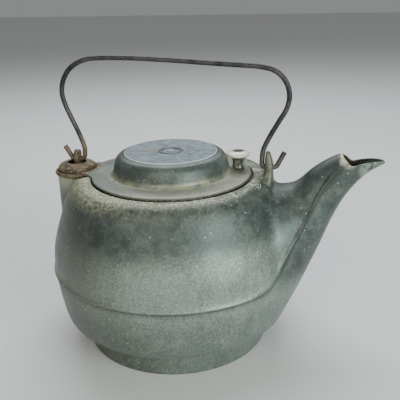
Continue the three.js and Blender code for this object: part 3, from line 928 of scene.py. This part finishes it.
def build_casting():
    total = len(relaxed)
    sides = np.zeros((total, 3))
    for face in casting_faces:
        a, b, c = relaxed[face[0]], relaxed[face[1]], relaxed[face[2]]
        sides[face] += np.cross(b - a, c - a)
    sides /= np.maximum(np.linalg.norm(sides, axis=1), 1e-9)[:, None]
    points = relaxed.copy()
    for v, height in rib_values(RIB_HEIGHTS, 1).items():
        normal = sides[v]
        away = points[v] - (60, 0, points[v][2])
        if points[v][0] < 100:
            away = points[v] * (1, 1, 0)
        outward = normal if normal @ away > 0 else -normal
        points[v] = points[v] + outward * height
    chips = np.random.default_rng(CHIP_SEED)
    for ring in spout_walk[-2:]:
        points[ring] += chips.uniform(-CHIP_DEPTH, CHIP_DEPTH, (len(ring), 3))
    casting = new_piece("kettle_casting", points, casting_faces, CASTING)
    # A mesh attribute marks where shade is painted: under the parting rib and inside the spout.
    painted_crevice_shade = casting.data.attributes.new("painted_crevice_shade", "FLOAT", "POINT")
    values = np.zeros(total, np.float32)
    for v, value in rib_values(RIB_PAINTED_SHADE, 0).items():
        values[v] = value
    for ring in inside_walk:
        values[ring] = 1.0
    kept = sorted({v for face in casting_faces for v in face})
    painted_crevice_shade.data.foreach_set("value", values[kept])
    return subdivide(casting, 1)


casting = build_casting()
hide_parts("kettle_body", "spout")
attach(casting, "kettle")
print("kettle_casting:", count(casting), "triangles")

# %% [markdown]
# ## The two ears
# Each ear is a short upright tongue with a hole for the wire. The rear one rises through the lid's eye
# and is also the lid's pivot; it is a rounded plate. The front one is a stout tongue that leans back a
# little and spreads at its foot into the shoulder. Both are lofted from rounded rectangles, then
# drilled along X.

# %% Ears


def rounded_ring(x_low, x_high, half, z, sides=32, power=3.2):
    """A rounded rectangle at one height."""
    ring = []
    for k in range(sides):
        a = 2 * math.pi * k / sides
        c, s = math.cos(a), math.sin(a)
        x = math.copysign(abs(c) ** (2 / power), c)
        y = math.copysign(abs(s) ** (2 / power), s)
        ring.append(((x_low + x_high) / 2 + x * (x_high - x_low) / 2, y * half, z))
    return ring


def lofted(rings):
    """A closed body through rings of equal count."""
    size = len(rings[0])
    points = [p for ring in rings for p in ring]
    numbers = [list(range(j * size, (j + 1) * size)) for j in range(len(rings))]
    return points, ring_faces(numbers) + [numbers[0][::-1], numbers[-1]]


def drill(x_low, x_high, radius, z, sides=32):
    rings = []
    for x in (x_low, x_high):
        turns = [2 * math.pi * k / sides for k in range(sides)]
        rings.append([(x, radius * math.cos(a), z + radius * math.sin(a)) for a in turns])
    return lofted(rings)


def rear_ear_body():
    low = REAR_EAR["x"] - REAR_EAR["thick"] / 2
    high = REAR_EAR["x"] + REAR_EAR["thick"] / 2
    half = REAR_EAR["half"]
    shoulder = REAR_EAR["top"] - half
    rings = [rounded_ring(low, high, half, z, power=4) for z in np.linspace(BOSS_TOP_Z - 2, shoulder, 12)]
    for a in np.linspace(0.12, 1.46, 10):
        squeeze = 0.55 * step(0.9, 1.5, a)
        rings.append(rounded_ring(
            low + squeeze, high - squeeze, half * math.cos(a), shoulder + half * math.sin(a), power=4
        ))
    return lofted(rings)


def front_ear_body():
    low, high = FRONT_EAR["inner"], FRONT_EAR["outer"]
    half, top = FRONT_EAR["half"], FRONT_EAR["top"]
    table = np.array([
        # height, inner x, outer x, half width
        (TOP_Z - 18.5, low - 4, high - 0.5, half + 5.5),
        (TOP_Z - 8, low - 7, high + 0.4, half + 5.5),
        (TOP_Z - 2.5, low - 9, high + 0.6, half + 5.2),
        (TOP_Z + 0.6, low - 6.5, high + 0.3, half + 3.4),
        (TOP_Z + 3.6, low - 2.4, high + 0.1, half + 1.4),
        (TOP_Z + 7.2, low - 0.4, high, half + 0.3),
        (BAIL_AXIS_Z, low, high, half),
        (BAIL_AXIS_Z + 5.5, low, high - 0.8, half - 0.4),
        (top - 5.8, low + 0.3, high - 2.2, half - 1.3),
        (top - 2.3, low + 0.8, high - 3.4, half - 2.6),
        (top - 0.5, low + 1.5, high - 4.4, half - 4.0),
        (top, low + 2.3, high - 5.2, half - 5.2),
    ])
    dense = smooth_curve(table, 56)
    return lofted([rounded_ring(x0, x1, h, z, power=2.6) for z, x0, x1, h in dense])


def make_ears():
    rear_x = REAR_EAR["x"]
    rear = unite(
        "rear_ear",
        [rear_ear_body(), drill(rear_x - 8, rear_x + 8, EAR_HOLE_RADIUS, BAIL_AXIS_Z)],
        CASTING, "DIFFERENCE",
    )
    front_x = FRONT_EAR["inner"]
    front = unite(
        "front_ear",
        [front_ear_body(), drill(front_x - 8, front_x + 14, EAR_HOLE_RADIUS, BAIL_AXIS_Z)],
        CASTING, "DIFFERENCE",
    )
    for ear in (rear, front):
        soften_by_angle(ear, 42)
        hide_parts("kettle_body")
        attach(ear, "kettle")
        print(ear.name, count(ear), "triangles")


make_ears()

# %% [markdown]
# ## The swing lid
# The lid is one casting: a dome with a flat plateau, a level flange, and at the rear an eye that drops
# over the ear. A plain raised ring and button stand in its middle, where a foundry puts its size mark.
# Dome and eye are turned from half outlines, and a thin web with hollow sides runs one into the other.
# The three are joined by a boolean, as the moulder joins them in the sand.

# %% Lid finish


def lid_finish():
    iron = Finish("aged_lid_iron", metallic=0.4)
    clouds = iron.noise(24, detail=5, roughness=0.6)
    patches = iron.noise(110, detail=7, roughness=0.7)
    grain = iron.noise(560, detail=5, roughness=0.75)
    streaks = iron.noise(1.0, detail=5, roughness=0.65, place=iron.moved(scale=(170, 170, 14)))
    top = PLATEAU_Z * MM
    flange_top = FLANGE_Z * MM
    iron.ground = iron.mix(iron.span(clouds, 0.3, 0.7), (0.14, 0.17, 0.14), (0.23, 0.27, 0.235))
    iron.lay(iron.span(streaks, 0.5, 0.78, 0, 0.4), (0.36, 0.4, 0.3))
    # Painted shade: everything above the flange's foot is painted darker, so the dome's steep side stays
    # dark.
    above_flange = iron.span(iron.z, flange_top + 0.003, flange_top + 0.007)
    side = iron.multiply(above_flange, iron.span(clouds, 0.2, 0.7, 0.8, 0.5))
    iron.lay(side, (0.03, 0.036, 0.032))
    # Painted reflection: the plateau is painted blue grey, as the sky mirrored in it.
    on_top = iron.span(iron.z, top - 0.0009, top - 0.0004)
    iron.lay(iron.multiply(on_top, iron.span(patches, 0.3, 0.7, 0.3, 0.75)), (0.36, 0.41, 0.47))
    iron.lay(iron.span(grain, 0.36, 0.52, 0.6, 0), (0.07, 0.08, 0.085))
    iron.lay(iron.span(grain, 0.55, 0.68, 0, 0.3), (0.5, 0.53, 0.52))

    # A light edge runs round the plateau, painted partly as wear and partly as highlight, with a painted
    # shadow line outside it.
    around = iron.reach(LID_X * MM)
    edge = iron.multiply(iron.span(around, 0.0472, 0.0479), iron.span(around, 0.0491, 0.0486), on_top)
    iron.lay_part(edge, 0.7, (0.5, 0.52, 0.48))
    line = iron.multiply(iron.span(around, 0.0487, 0.0491), iron.span(around, 0.0505, 0.0498))
    iron.lay_part(line, 0.75, (0.03, 0.032, 0.03))
    foot = iron.multiply(iron.span(around, 0.0595, 0.0625), iron.span(around, 0.070, 0.064))
    iron.lay(iron.multiply(foot, iron.span(patches, 0.4, 0.6, 0, 0.8)), (0.40, 0.39, 0.23))
    # Tan dust on the flange beside the dome, painted stronger on the lit spout side as painted light.
    near_flange = iron.span(iron.z, flange_top + 0.0045, flange_top + 0.002)
    low = iron.multiply(iron.span(around, 0.062, 0.066), near_flange)
    painted_lit_side = iron.span(iron.x, -0.07, -0.02, 0.25, 1)
    flange = iron.multiply(low, painted_lit_side, iron.span(clouds, 0.3, 0.6, 0.35, 0.8))
    iron.lay(flange, (0.29, 0.265, 0.2))

    # The eye rusts where the wire and the ear rub it, and its hole is painted black as painted shade.
    pivot = iron.reach(PIVOT_X * MM)
    eye = iron.span(pivot, 0.030, 0.0235)
    iron.lay(iron.multiply(eye, iron.span(patches, 0.2, 0.45, 0.7, 1)), (0.19, 0.13, 0.075))
    iron.lay(iron.multiply(eye, iron.span(patches, 0.5, 0.42, 0, 0.85)), (0.04, 0.033, 0.024))
    iron.lay(iron.multiply(eye, iron.span(grain, 0.52, 0.62, 0, 0.6)), (0.4, 0.35, 0.24))
    iron.lay(iron.span(pivot, 0.0102, 0.0097), (0.01, 0.008, 0.007))
    # Painted shade in the groove between the eye's collar and its disc.
    groove = iron.multiply(iron.span(pivot, 0.0203, 0.0207), iron.span(pivot, 0.0222, 0.0215))
    iron.lay_part(groove, 0.8, (0.02, 0.016, 0.012))
    mark = iron.multiply(iron.span(around, 0.0075, 0.009), iron.span(around, 0.0145, 0.0125), on_top)
    iron.lay_part(mark, 0.75, (0.07, 0.075, 0.078))
    spot = iron.span(iron.reach(-0.018, -0.004), 0.010, 0.002)
    spot = iron.multiply(spot, on_top, iron.span(patches, 0.4, 0.55))
    iron.lay_part(spot, 0.75, (0.32, 0.17, 0.08))
    distance, chance = iron.cells(180)
    speck = iron.multiply(iron.span(distance, 0.15, 0.08), iron.span(chance, 0.85, 0.87))
    iron.lay_part(speck, 0.5, (0.8, 0.82, 0.76))
    iron.colour(iron.ground)
    rough = iron.span(patches, 0.3, 0.7, 0.36, 0.5)
    iron.rough(iron.math("ADD", rough, iron.math("MULTIPLY", eye, 0.3), clamp=True))
    iron.bump((patches, 0.0008, 0.28), (iron.noise(400, detail=5), 0.0004, 0.4), (grain, 0.0002, 0.4))
    return iron.material


LID_IRON = lid_finish()

# %% Lid body


def dome_outline():
    top = PLATEAU_Z
    outside = [
        (0, top - 0.25), (20, top - 0.2), (40, top - 0.1), (46.6, top), (47.6, top + 0.05),
        (48.4, top - 0.05), (48.9, top - 0.5), (49.5, top - 0.75),
    ]
    swell = smooth_curve([
        (50.2, top - 0.95), (54.6, top - 2.7), (58.2, top - 7), (60.1, top - 13.2), (61.1, top - 18.6),
        (63.4, FLANGE_Z + 0.9), (67, FLANGE_Z + 0.2),
    ], 34)
    edge = [
        (74, FLANGE_Z), (82, FLANGE_Z - 0.1), (83.1, FLANGE_Z - 0.3), (83.7, FLANGE_Z - 0.8),
        (LID_RADIUS, FLANGE_Z - 1.5), (83.5, LID_UNDER_Z + 0.3), (82.8, LID_UNDER_Z),
    ]
    inside = smooth_curve([
        (60.2, LID_UNDER_Z), (58.2, top - 20), (57, top - 13.2), (54.4, top - 7.8), (48, top - 3.4),
        (30, top - 3.25),
    ], 24)
    return outside + swell.tolist() + edge + inside.tolist() + [(0, top - 3.2)]


def eye_outline():
    """A collar with a bevelled foot, a groove, and the domed disc round the hole."""
    low = EYE_UNDER_Z
    ring = EYE_RING_RADIUS
    top = low + 4.6
    collar = smooth_curve([
        (ring - 2.0, low), (ring - 0.9, low + 0.6), (ring - 0.1, low + 2.2), (ring - 0.1, top - 1.1),
        (ring - 1.1, top - 0.1), (ring - 2.4, top - 0.1), (EYE_DISC_RADIUS + 0.6, top - 0.5),
    ], 25)
    disc = smooth_curve([
        (EYE_DISC_RADIUS, top), (EYE_DISC_RADIUS - 0.1, top + 1.8), (EYE_DISC_RADIUS - 0.5, top + 3.8),
        (EYE_DISC_RADIUS - 1.8, top + 5.6), (16.2, top + 7.2), (12.6, top + 8.4), (11.0, top + 8.5),
        (10.0, top + 8.1), (EYE_RADIUS, top + 7.2),
    ], 33)
    return [(EYE_RADIUS, low)] + collar.tolist() + disc.tolist()


def web_body():
    """The thin web between the flange and the eye, with a hollow curve on each side."""
    start = PIVOT_X + 12
    side = smooth_curve([(start, 20), (start + 7, 22.4), (start + 14, 27.8), (start + 21, 36)], 16)
    outline = side.tolist() + [(start + 28, 20), (start + 28, -20)] + [(x, -y) for x, y in side[::-1]]
    levels = (LID_UNDER_Z + 0.02, FLANGE_Z - 0.15)
    return lofted([[(x, y, z) for x, y in outline] for z in levels])


def ornament_ring():
    return turned([
        (9.1, PLATEAU_Z - 1), (12.8, PLATEAU_Z - 1), (12.6, PLATEAU_Z + 0.5), (11.9, PLATEAU_Z + 0.95),
        (10.0, PLATEAU_Z + 0.95), (9.3, PLATEAU_Z + 0.5),
    ], 64, (LID_X, 0), closed=True)


def ornament_button():
    return turned([
        (0, PLATEAU_Z - 1), (4.4, PLATEAU_Z - 1), (4.2, PLATEAU_Z + 0.4), (3.2, PLATEAU_Z + 1),
        (0, PLATEAU_Z + 1.25),
    ], 40, (LID_X, 0))


lid = unite(
    "swing_lid_casting",
    [
        turned(dome_outline(), 160, (LID_X, 0)),
        web_body(),
        turned(eye_outline(), 96, (PIVOT_X, 0), closed=True),
        ornament_ring(),
        ornament_button(),
    ],
    LID_IRON,
)
soften_by_angle(lid, 38)
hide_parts("lid")
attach(lid, "swing_lid")
print("swing_lid_casting:", count(lid), "triangles")

# %% [markdown]
# ## Knob and screw
# The knob is glazed porcelain, so that it stays cool enough to touch. It is turned like a cotton reel:
# a spread foot, a waist, and a wide flat top with a recess for the screw. The glaze is glossy and
# cream; below the top it is painted dark, partly a stain where soot and iron have run down the waist
# and partly painted shade under the top. The screw is a plain slotted one.

# %% Knob

def porcelain_finish():
    glaze = Finish("cream_porcelain", roughness=0.18)
    glaze.shader.inputs["Coat Weight"].default_value = 0.5
    glaze.shader.inputs["Coat Roughness"].default_value = 0.08
    mottle = glaze.noise(160, detail=4)
    glaze.ground = glaze.mix(glaze.span(mottle, 0.35, 0.65), (0.86, 0.84, 0.70), (0.74, 0.74, 0.58))
    # Below the top the glaze is painted dark: partly a soot stain, partly painted shade under the top.
    low = (KNOB_Z + 12.9) * MM
    painted_shade_and_soot = glaze.span(glaze.z, low + 0.0016, low - 0.001)
    uneven = glaze.span(glaze.noise(300), 0.25, 0.6, 0.75, 0.97)
    glaze.lay(glaze.multiply(painted_shade_and_soot, uneven), (0.06, 0.062, 0.045))
    ring = glaze.reach(KNOB_X * MM, KNOB_Y * MM)
    stain = glaze.multiply(glaze.span(ring, 0.0078, 0.0052), glaze.span(glaze.z, low, low + 0.004))
    glaze.lay_part(stain, 0.7, (0.18, 0.15, 0.1))
    glaze.colour(glaze.ground)
    glaze.bump((mottle, 0.0002, 0.15))
    return glaze.material


def knob_outline():
    h = KNOB_HEIGHT
    skirt = smooth_curve([
        (6.5, 0), (6.7, 1.2), (6.1, 3.4), (6, 6.4), (6.9, 9.8), (8.8, 12), (11.3, 13.2), (12.5, 14.7),
        (12.4, 16.1), (10.9, h - 1.3), (7.6, h - 0.3), (5.4, h), (4.95, h - 0.5),
    ], 73)
    bore = [(4.9, h - 2), (2.5, h - 2), (2.5, 0)]
    return [(r, KNOB_Z + z) for r, z in skirt.tolist() + bore]


PORCELAIN = porcelain_finish()
knob = new_piece("porcelain_knob", *turned(knob_outline(), 72, (KNOB_X, KNOB_Y), closed=True), PORCELAIN)
soften_by_angle(knob, 40)
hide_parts("knob")
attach(knob, "swing_lid")
print("porcelain_knob:", count(knob), "triangles")

# %% Screw


def screw_finish():
    iron = Finish("rusted_screw_iron", roughness=0.6, metallic=0.5)
    patches = iron.noise(700, detail=5)
    iron.colour(iron.mix(iron.span(patches, 0.35, 0.65), (0.03, 0.026, 0.024), (0.11, 0.06, 0.035)))
    iron.bump((patches, 0.0002, 0.4))
    return iron.material


def make_screw():
    seat = KNOB_Z + KNOB_HEIGHT - 1.7
    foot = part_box("knob_screw")[0].z / MM
    body = turned([
        (0, foot), (2.0, foot), (2.2, foot + 0.3), (2.2, seat), (4.4, seat), (4.6, seat + 0.3),
        (4.5, seat + 1.1), (3.9, seat + 1.7), (2.6, seat + 2.2), (1.3, seat + 2.42), (0, seat + 2.5),
    ], 48, (KNOB_X, KNOB_Y))
    slot_turn = math.radians(35)
    along = np.array([math.cos(slot_turn), math.sin(slot_turn)])
    beside = np.array([-along[1], along[0]])
    rings = []
    for z in (seat + 1.4, seat + 4):
        corners = [along * 7 * a + beside * 0.55 * b for a, b in ((-1, -1), (1, -1), (1, 1), (-1, 1))]
        rings.append([(KNOB_X + c[0], KNOB_Y + c[1], z) for c in corners])
    return unite("knob_screw_slotted", [body, lofted(rings)], screw_finish(), "DIFFERENCE")


screw = make_screw()
soften_by_angle(screw, 35)
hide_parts("knob_screw")
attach(screw, "swing_lid")
print("knob_screw_slotted:", count(screw), "triangles")

# %% [markdown]
# ## The bail
# The bail is a single iron wire, bent cold by hand, so no stretch of it is quite straight. Its middle
# line is a smooth curve through given points for the loop, and at each ear it turns in tightly,
# passes through the hole, and ends outside in an upturned prong that keeps it from pulling back. A
# Geometry Nodes tree carries a round section along that line, because that is what a wire is.

# %% Route of the wire
LOOP = [
    (-97.3, 199.7), (-97.4, 208.5), (-102.6, 224), (-109.2, 239.5), (-114.6, 253.5), (-116.9, 266.5),
    (-113.6, 279.7), (-105, 291.3), (-91.5, 298.9), (-75, 301.7), (-40, 301.9), (0, 300.1), (40, 297.5),
    (78, 295.2), (93, 294), (107, 290.2), (117, 280.7), (121.2, 267.5), (119, 254), (111.4, 240.5),
    (102.4, 224.5), (96.4, 211), (95, 197.7),
]
REAR_TIP = (-119.6, 208.3)
FRONT_TIP = (117.8, 209.4)
PRONG_BEND = 3.6


def bend(centre, radius, start, end, steps):
    turns = [start + (end - start) * i / steps for i in range(steps + 1)]
    return [(centre[0] + radius * math.cos(a), centre[1] + radius * math.sin(a)) for a in turns]


def prong(side, start, tip):
    """Out of the ear along X, round the bend, and up to the tip. side is -1 rear, 1 front."""
    centre = (start, BAIL_AXIS_Z + PRONG_BEND)
    lean = math.atan2(tip[1] - centre[1], (tip[0] - centre[0]) * side)
    reach = math.hypot(tip[0] - centre[0], tip[1] - centre[1])
    sweep = lean + math.asin(PRONG_BEND / reach)
    arc = [
        (centre[0] + side * PRONG_BEND * math.sin(a), centre[1] - PRONG_BEND * math.cos(a))
        for a in np.linspace(0, sweep, 9)
    ]
    last = np.array(arc[-1])
    straight = [tuple(last + (np.array(tip) - last) * t) for t in (0.25, 0.5, 0.75, 1.0)]
    return arc + straight


def wire_route():
    rear = prong(-1, REAR_EAR["x"] - REAR_EAR["thick"] / 2 - 0.4, REAR_TIP)[::-1]
    front = prong(1, FRONT_EAR["outer"] + 0.6, FRONT_TIP)
    rear_radius = LOOP[0][1] - BAIL_AXIS_Z
    front_radius = LOOP[-1][1] - BAIL_AXIS_Z
    rear_turn = bend((LOOP[0][0] - rear_radius, LOOP[0][1]), rear_radius, -math.pi / 2, 0, 10)
    front_turn = bend((LOOP[-1][0] + front_radius, LOOP[-1][1]), front_radius, math.pi, 1.5 * math.pi, 10)
    loop = smooth_curve(LOOP, 199)[1:-1].tolist()
    route = rear + rear_turn + loop + front_turn + front
    return [(x, 0.0, z) for x, z in route]


ROUTE = wire_route()
length = sum(math.dist(a, b) for a, b in zip(ROUTE, ROUTE[1:]))
print("wire:", len(ROUTE), "points,", round(length), "mm long")

# %% Wire finish and the Geometry Nodes tree


def wire_finish():
    iron = Finish("blackened_wire", metallic=0.55)
    along = iron.noise(60, detail=5)
    fine = iron.noise(600, detail=4)
    iron.ground = iron.mix(iron.span(along, 0.35, 0.65), (0.022, 0.023, 0.026), (0.07, 0.066, 0.062))
    iron.lay(iron.span(fine, 0.5, 0.75, 0, 0.4), (0.2, 0.19, 0.17))
    ends = iron.span(iron.z, BAIL_AXIS_Z * MM + 0.032, BAIL_AXIS_Z * MM + 0.009)
    rear = iron.span(iron.x, -0.04, -0.09)
    rust = iron.multiply(ends, rear, iron.span(fine, 0.3, 0.6, 0.4, 0.9))
    iron.lay(rust, (0.2, 0.13, 0.085))
    front = iron.multiply(ends, iron.span(iron.x, 0.06, 0.09), iron.span(along, 0.3, 0.6, 0.25, 0.7))
    iron.lay(front, (0.17, 0.16, 0.12))
    iron.colour(iron.ground)
    iron.rough(iron.span(fine, 0.3, 0.7, 0.38, 0.56))
    iron.bump((fine, 0.00025, 0.4))
    return iron.material


WIRE_IRON = wire_finish()


def new_tree(name, inputs):
    """A Geometry Nodes tree with named inputs; returns it with its socket identifiers."""
    tree = bpy.data.node_groups.new(name, "GeometryNodeTree")
    tree.interface.new_socket("Geometry", in_out="INPUT", socket_type="NodeSocketGeometry")
    tree.interface.new_socket("Geometry", in_out="OUTPUT", socket_type="NodeSocketGeometry")
    names = {}
    for label, kind, value in inputs:
        socket = tree.interface.new_socket(label, in_out="INPUT", socket_type=kind)
        socket.default_value = value
        names[label] = socket.identifier
    return tree, names


def finish_tree(tree, geometry, material):
    """Every tree ends the same way: real geometry, then its material."""
    real = tree.nodes.new("GeometryNodeRealizeInstances")
    paint = tree.nodes.new("GeometryNodeSetMaterial")
    out = tree.nodes.new("NodeGroupOutput")
    paint.inputs["Material"].default_value = material
    tree.links.new(geometry, real.inputs[0])
    tree.links.new(real.outputs[0], paint.inputs["Geometry"])
    tree.links.new(paint.outputs[0], out.inputs[0])


def run_tree(piece, tree, names, values):
    modifier = piece.modifiers.new(tree.name, "NODES")
    modifier.node_group = tree
    for label, value in values.items():
        modifier[names[label]] = value
    return bake(piece)


def wire_tree():
    tree, names = new_tree("round_wire", [
        ("Wire radius", "NodeSocketFloat", 0.0027),
        ("Sides", "NodeSocketInt", 20),
        ("Hand unevenness", "NodeSocketFloat", 0.0001),
    ])
    link = tree.links.new
    given = tree.nodes.new("NodeGroupInput")
    line = tree.nodes.new("GeometryNodeMeshToCurve")
    section = tree.nodes.new("GeometryNodeCurvePrimitiveCircle")
    tube = tree.nodes.new("GeometryNodeCurveToMesh")
    tube.inputs["Fill Caps"].default_value = True
    link(given.outputs["Geometry"], line.inputs["Mesh"])
    link(given.outputs["Wire radius"], section.inputs["Radius"])
    link(given.outputs["Sides"], section.inputs["Resolution"])
    link(line.outputs[0], tube.inputs["Curve"])
    link(section.outputs[0], tube.inputs["Profile Curve"])

    # A slow noise moves the skin in and out by a tenth of a millimetre, as a hammer does.
    noise = tree.nodes.new("ShaderNodeTexNoise")
    noise.inputs["Scale"].default_value = 90
    centred = tree.nodes.new("ShaderNodeMath")
    centred.operation = "SUBTRACT"
    centred.inputs[1].default_value = 0.5
    amount = tree.nodes.new("ShaderNodeMath")
    amount.operation = "MULTIPLY"
    normal = tree.nodes.new("GeometryNodeInputNormal")
    push = tree.nodes.new("ShaderNodeVectorMath")
    push.operation = "SCALE"
    shift = tree.nodes.new("GeometryNodeSetPosition")
    link(noise.outputs[0], centred.inputs[0])
    link(centred.outputs[0], amount.inputs[0])
    link(given.outputs["Hand unevenness"], amount.inputs[1])
    link(normal.outputs[0], push.inputs[0])
    link(amount.outputs[0], push.inputs["Scale"])
    link(tube.outputs[0], shift.inputs["Geometry"])
    link(push.outputs[0], shift.inputs["Offset"])
    smooth = tree.nodes.new("GeometryNodeSetShadeSmooth")
    link(shift.outputs[0], smooth.inputs["Geometry"])
    finish_tree(tree, smooth.outputs[0], WIRE_IRON)
    return tree, names


def make_bail():
    mesh = bpy.data.meshes.new("bail_line")
    edges = [(i, i + 1) for i in range(len(ROUTE) - 1)]
    mesh.from_pydata((np.array(ROUTE) * MM).tolist(), edges, [])
    piece = bpy.data.objects.new("wire_bail", mesh)
    scene.collection.objects.link(piece)
    tree, names = wire_tree()
    run_tree(piece, tree, names, {"Wire radius": WIRE_RADIUS * MM, "Sides": 20, "Hand unevenness": 0.00012})
    return soften_by_angle(piece, 50)


bail = make_bail()
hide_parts("bail")
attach(bail, "handle")
print("wire_bail:", count(bail), "triangles")

# %% [markdown]
# ## Crumbs of dried scale beside the lid
# Years of boiled-over water leave a crust of pale grains on the shoulder, just outside the lid. The
# grains are scattered on a copy of the shoulder's own faces, crowded in some places and absent in
# others. They are flat, lower than the gap under the lid, so the lid still swings over them.

# %% Crumbs of scale
CRUMB_BAND = (87.0, 99.5)


def scale_finish():
    chalk = Finish("dried_scale", roughness=0.85)
    tint = chalk.noise(90, detail=4)
    chalk.colour(chalk.mix(chalk.span(tint, 0.35, 0.65), (0.62, 0.6, 0.44), (0.8, 0.79, 0.68)))
    return chalk.material


def shoulder_patch():
    """The shoulder's own faces beside the lid, without the ears' feet."""
    mesh = casting.data
    faces = []
    used = {}
    for face in mesh.polygons:
        x, y, z = (v / MM for v in face.center)
        near_ear = math.hypot(x - FRONT_EAR["inner"] - 4, y) < 12 or math.hypot(x - PIVOT_X, y) < 27
        if CRUMB_BAND[0] < math.hypot(x, y) < CRUMB_BAND[1] and z > TOP_Z - 4 and not near_ear:
            faces.append([used.setdefault(v, len(used)) for v in face.vertices])
    points = [mesh.vertices[v].co / MM for v in used]
    return new_piece("scale_crumbs", points, faces, SCALE, smooth=False)


def crumb_tree():
    tree, names = new_tree("scattered_crumbs", [
        ("Crumbs per square metre", "NodeSocketFloat", 420000.0),
        ("Crumb radius", "NodeSocketFloat", 0.00058),
        ("Seed", "NodeSocketInt", 5),
    ])
    link = tree.links.new
    given = tree.nodes.new("NodeGroupInput")
    spread = tree.nodes.new("GeometryNodeDistributePointsOnFaces")
    noise = tree.nodes.new("ShaderNodeTexNoise")
    noise.inputs["Scale"].default_value = 75
    noise.inputs["Detail"].default_value = 5
    noise.inputs["Roughness"].default_value = 0.7
    crowd = tree.nodes.new("ShaderNodeMapRange")
    crowd.inputs["From Min"].default_value = 0.46
    crowd.inputs["From Max"].default_value = 0.64
    density = tree.nodes.new("ShaderNodeMath")
    density.operation = "MULTIPLY"
    grain = tree.nodes.new("GeometryNodeMeshIcoSphere")
    size = tree.nodes.new("FunctionNodeRandomValue")
    size.data_type = "FLOAT_VECTOR"
    size.inputs[0].default_value = (0.4, 0.4, 0.2)
    size.inputs[1].default_value = (1.3, 1.0, 0.5)
    place = tree.nodes.new("GeometryNodeInstanceOnPoints")
    link(given.outputs["Geometry"], spread.inputs["Mesh"])
    link(noise.outputs[0], crowd.inputs["Value"])
    link(crowd.outputs["Result"], density.inputs[0])
    link(given.outputs["Crumbs per square metre"], density.inputs[1])
    link(density.outputs[0], spread.inputs["Density"])
    link(given.outputs["Seed"], spread.inputs["Seed"])
    link(given.outputs["Crumb radius"], grain.inputs["Radius"])
    link(spread.outputs["Points"], place.inputs["Points"])
    link(spread.outputs["Rotation"], place.inputs["Rotation"])
    link(size.outputs[0], place.inputs["Scale"])
    link(grain.outputs["Mesh"], place.inputs["Instance"])
    finish_tree(tree, place.outputs["Instances"], SCALE)
    return tree, names


SCALE = scale_finish()
crumbs_tree, crumbs_names = crumb_tree()
crumbs = run_tree(shoulder_patch(), crumbs_tree, crumbs_names, {"Seed": 5})
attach(crumbs, "kettle")
print("scale_crumbs:", count(crumbs), "triangles")
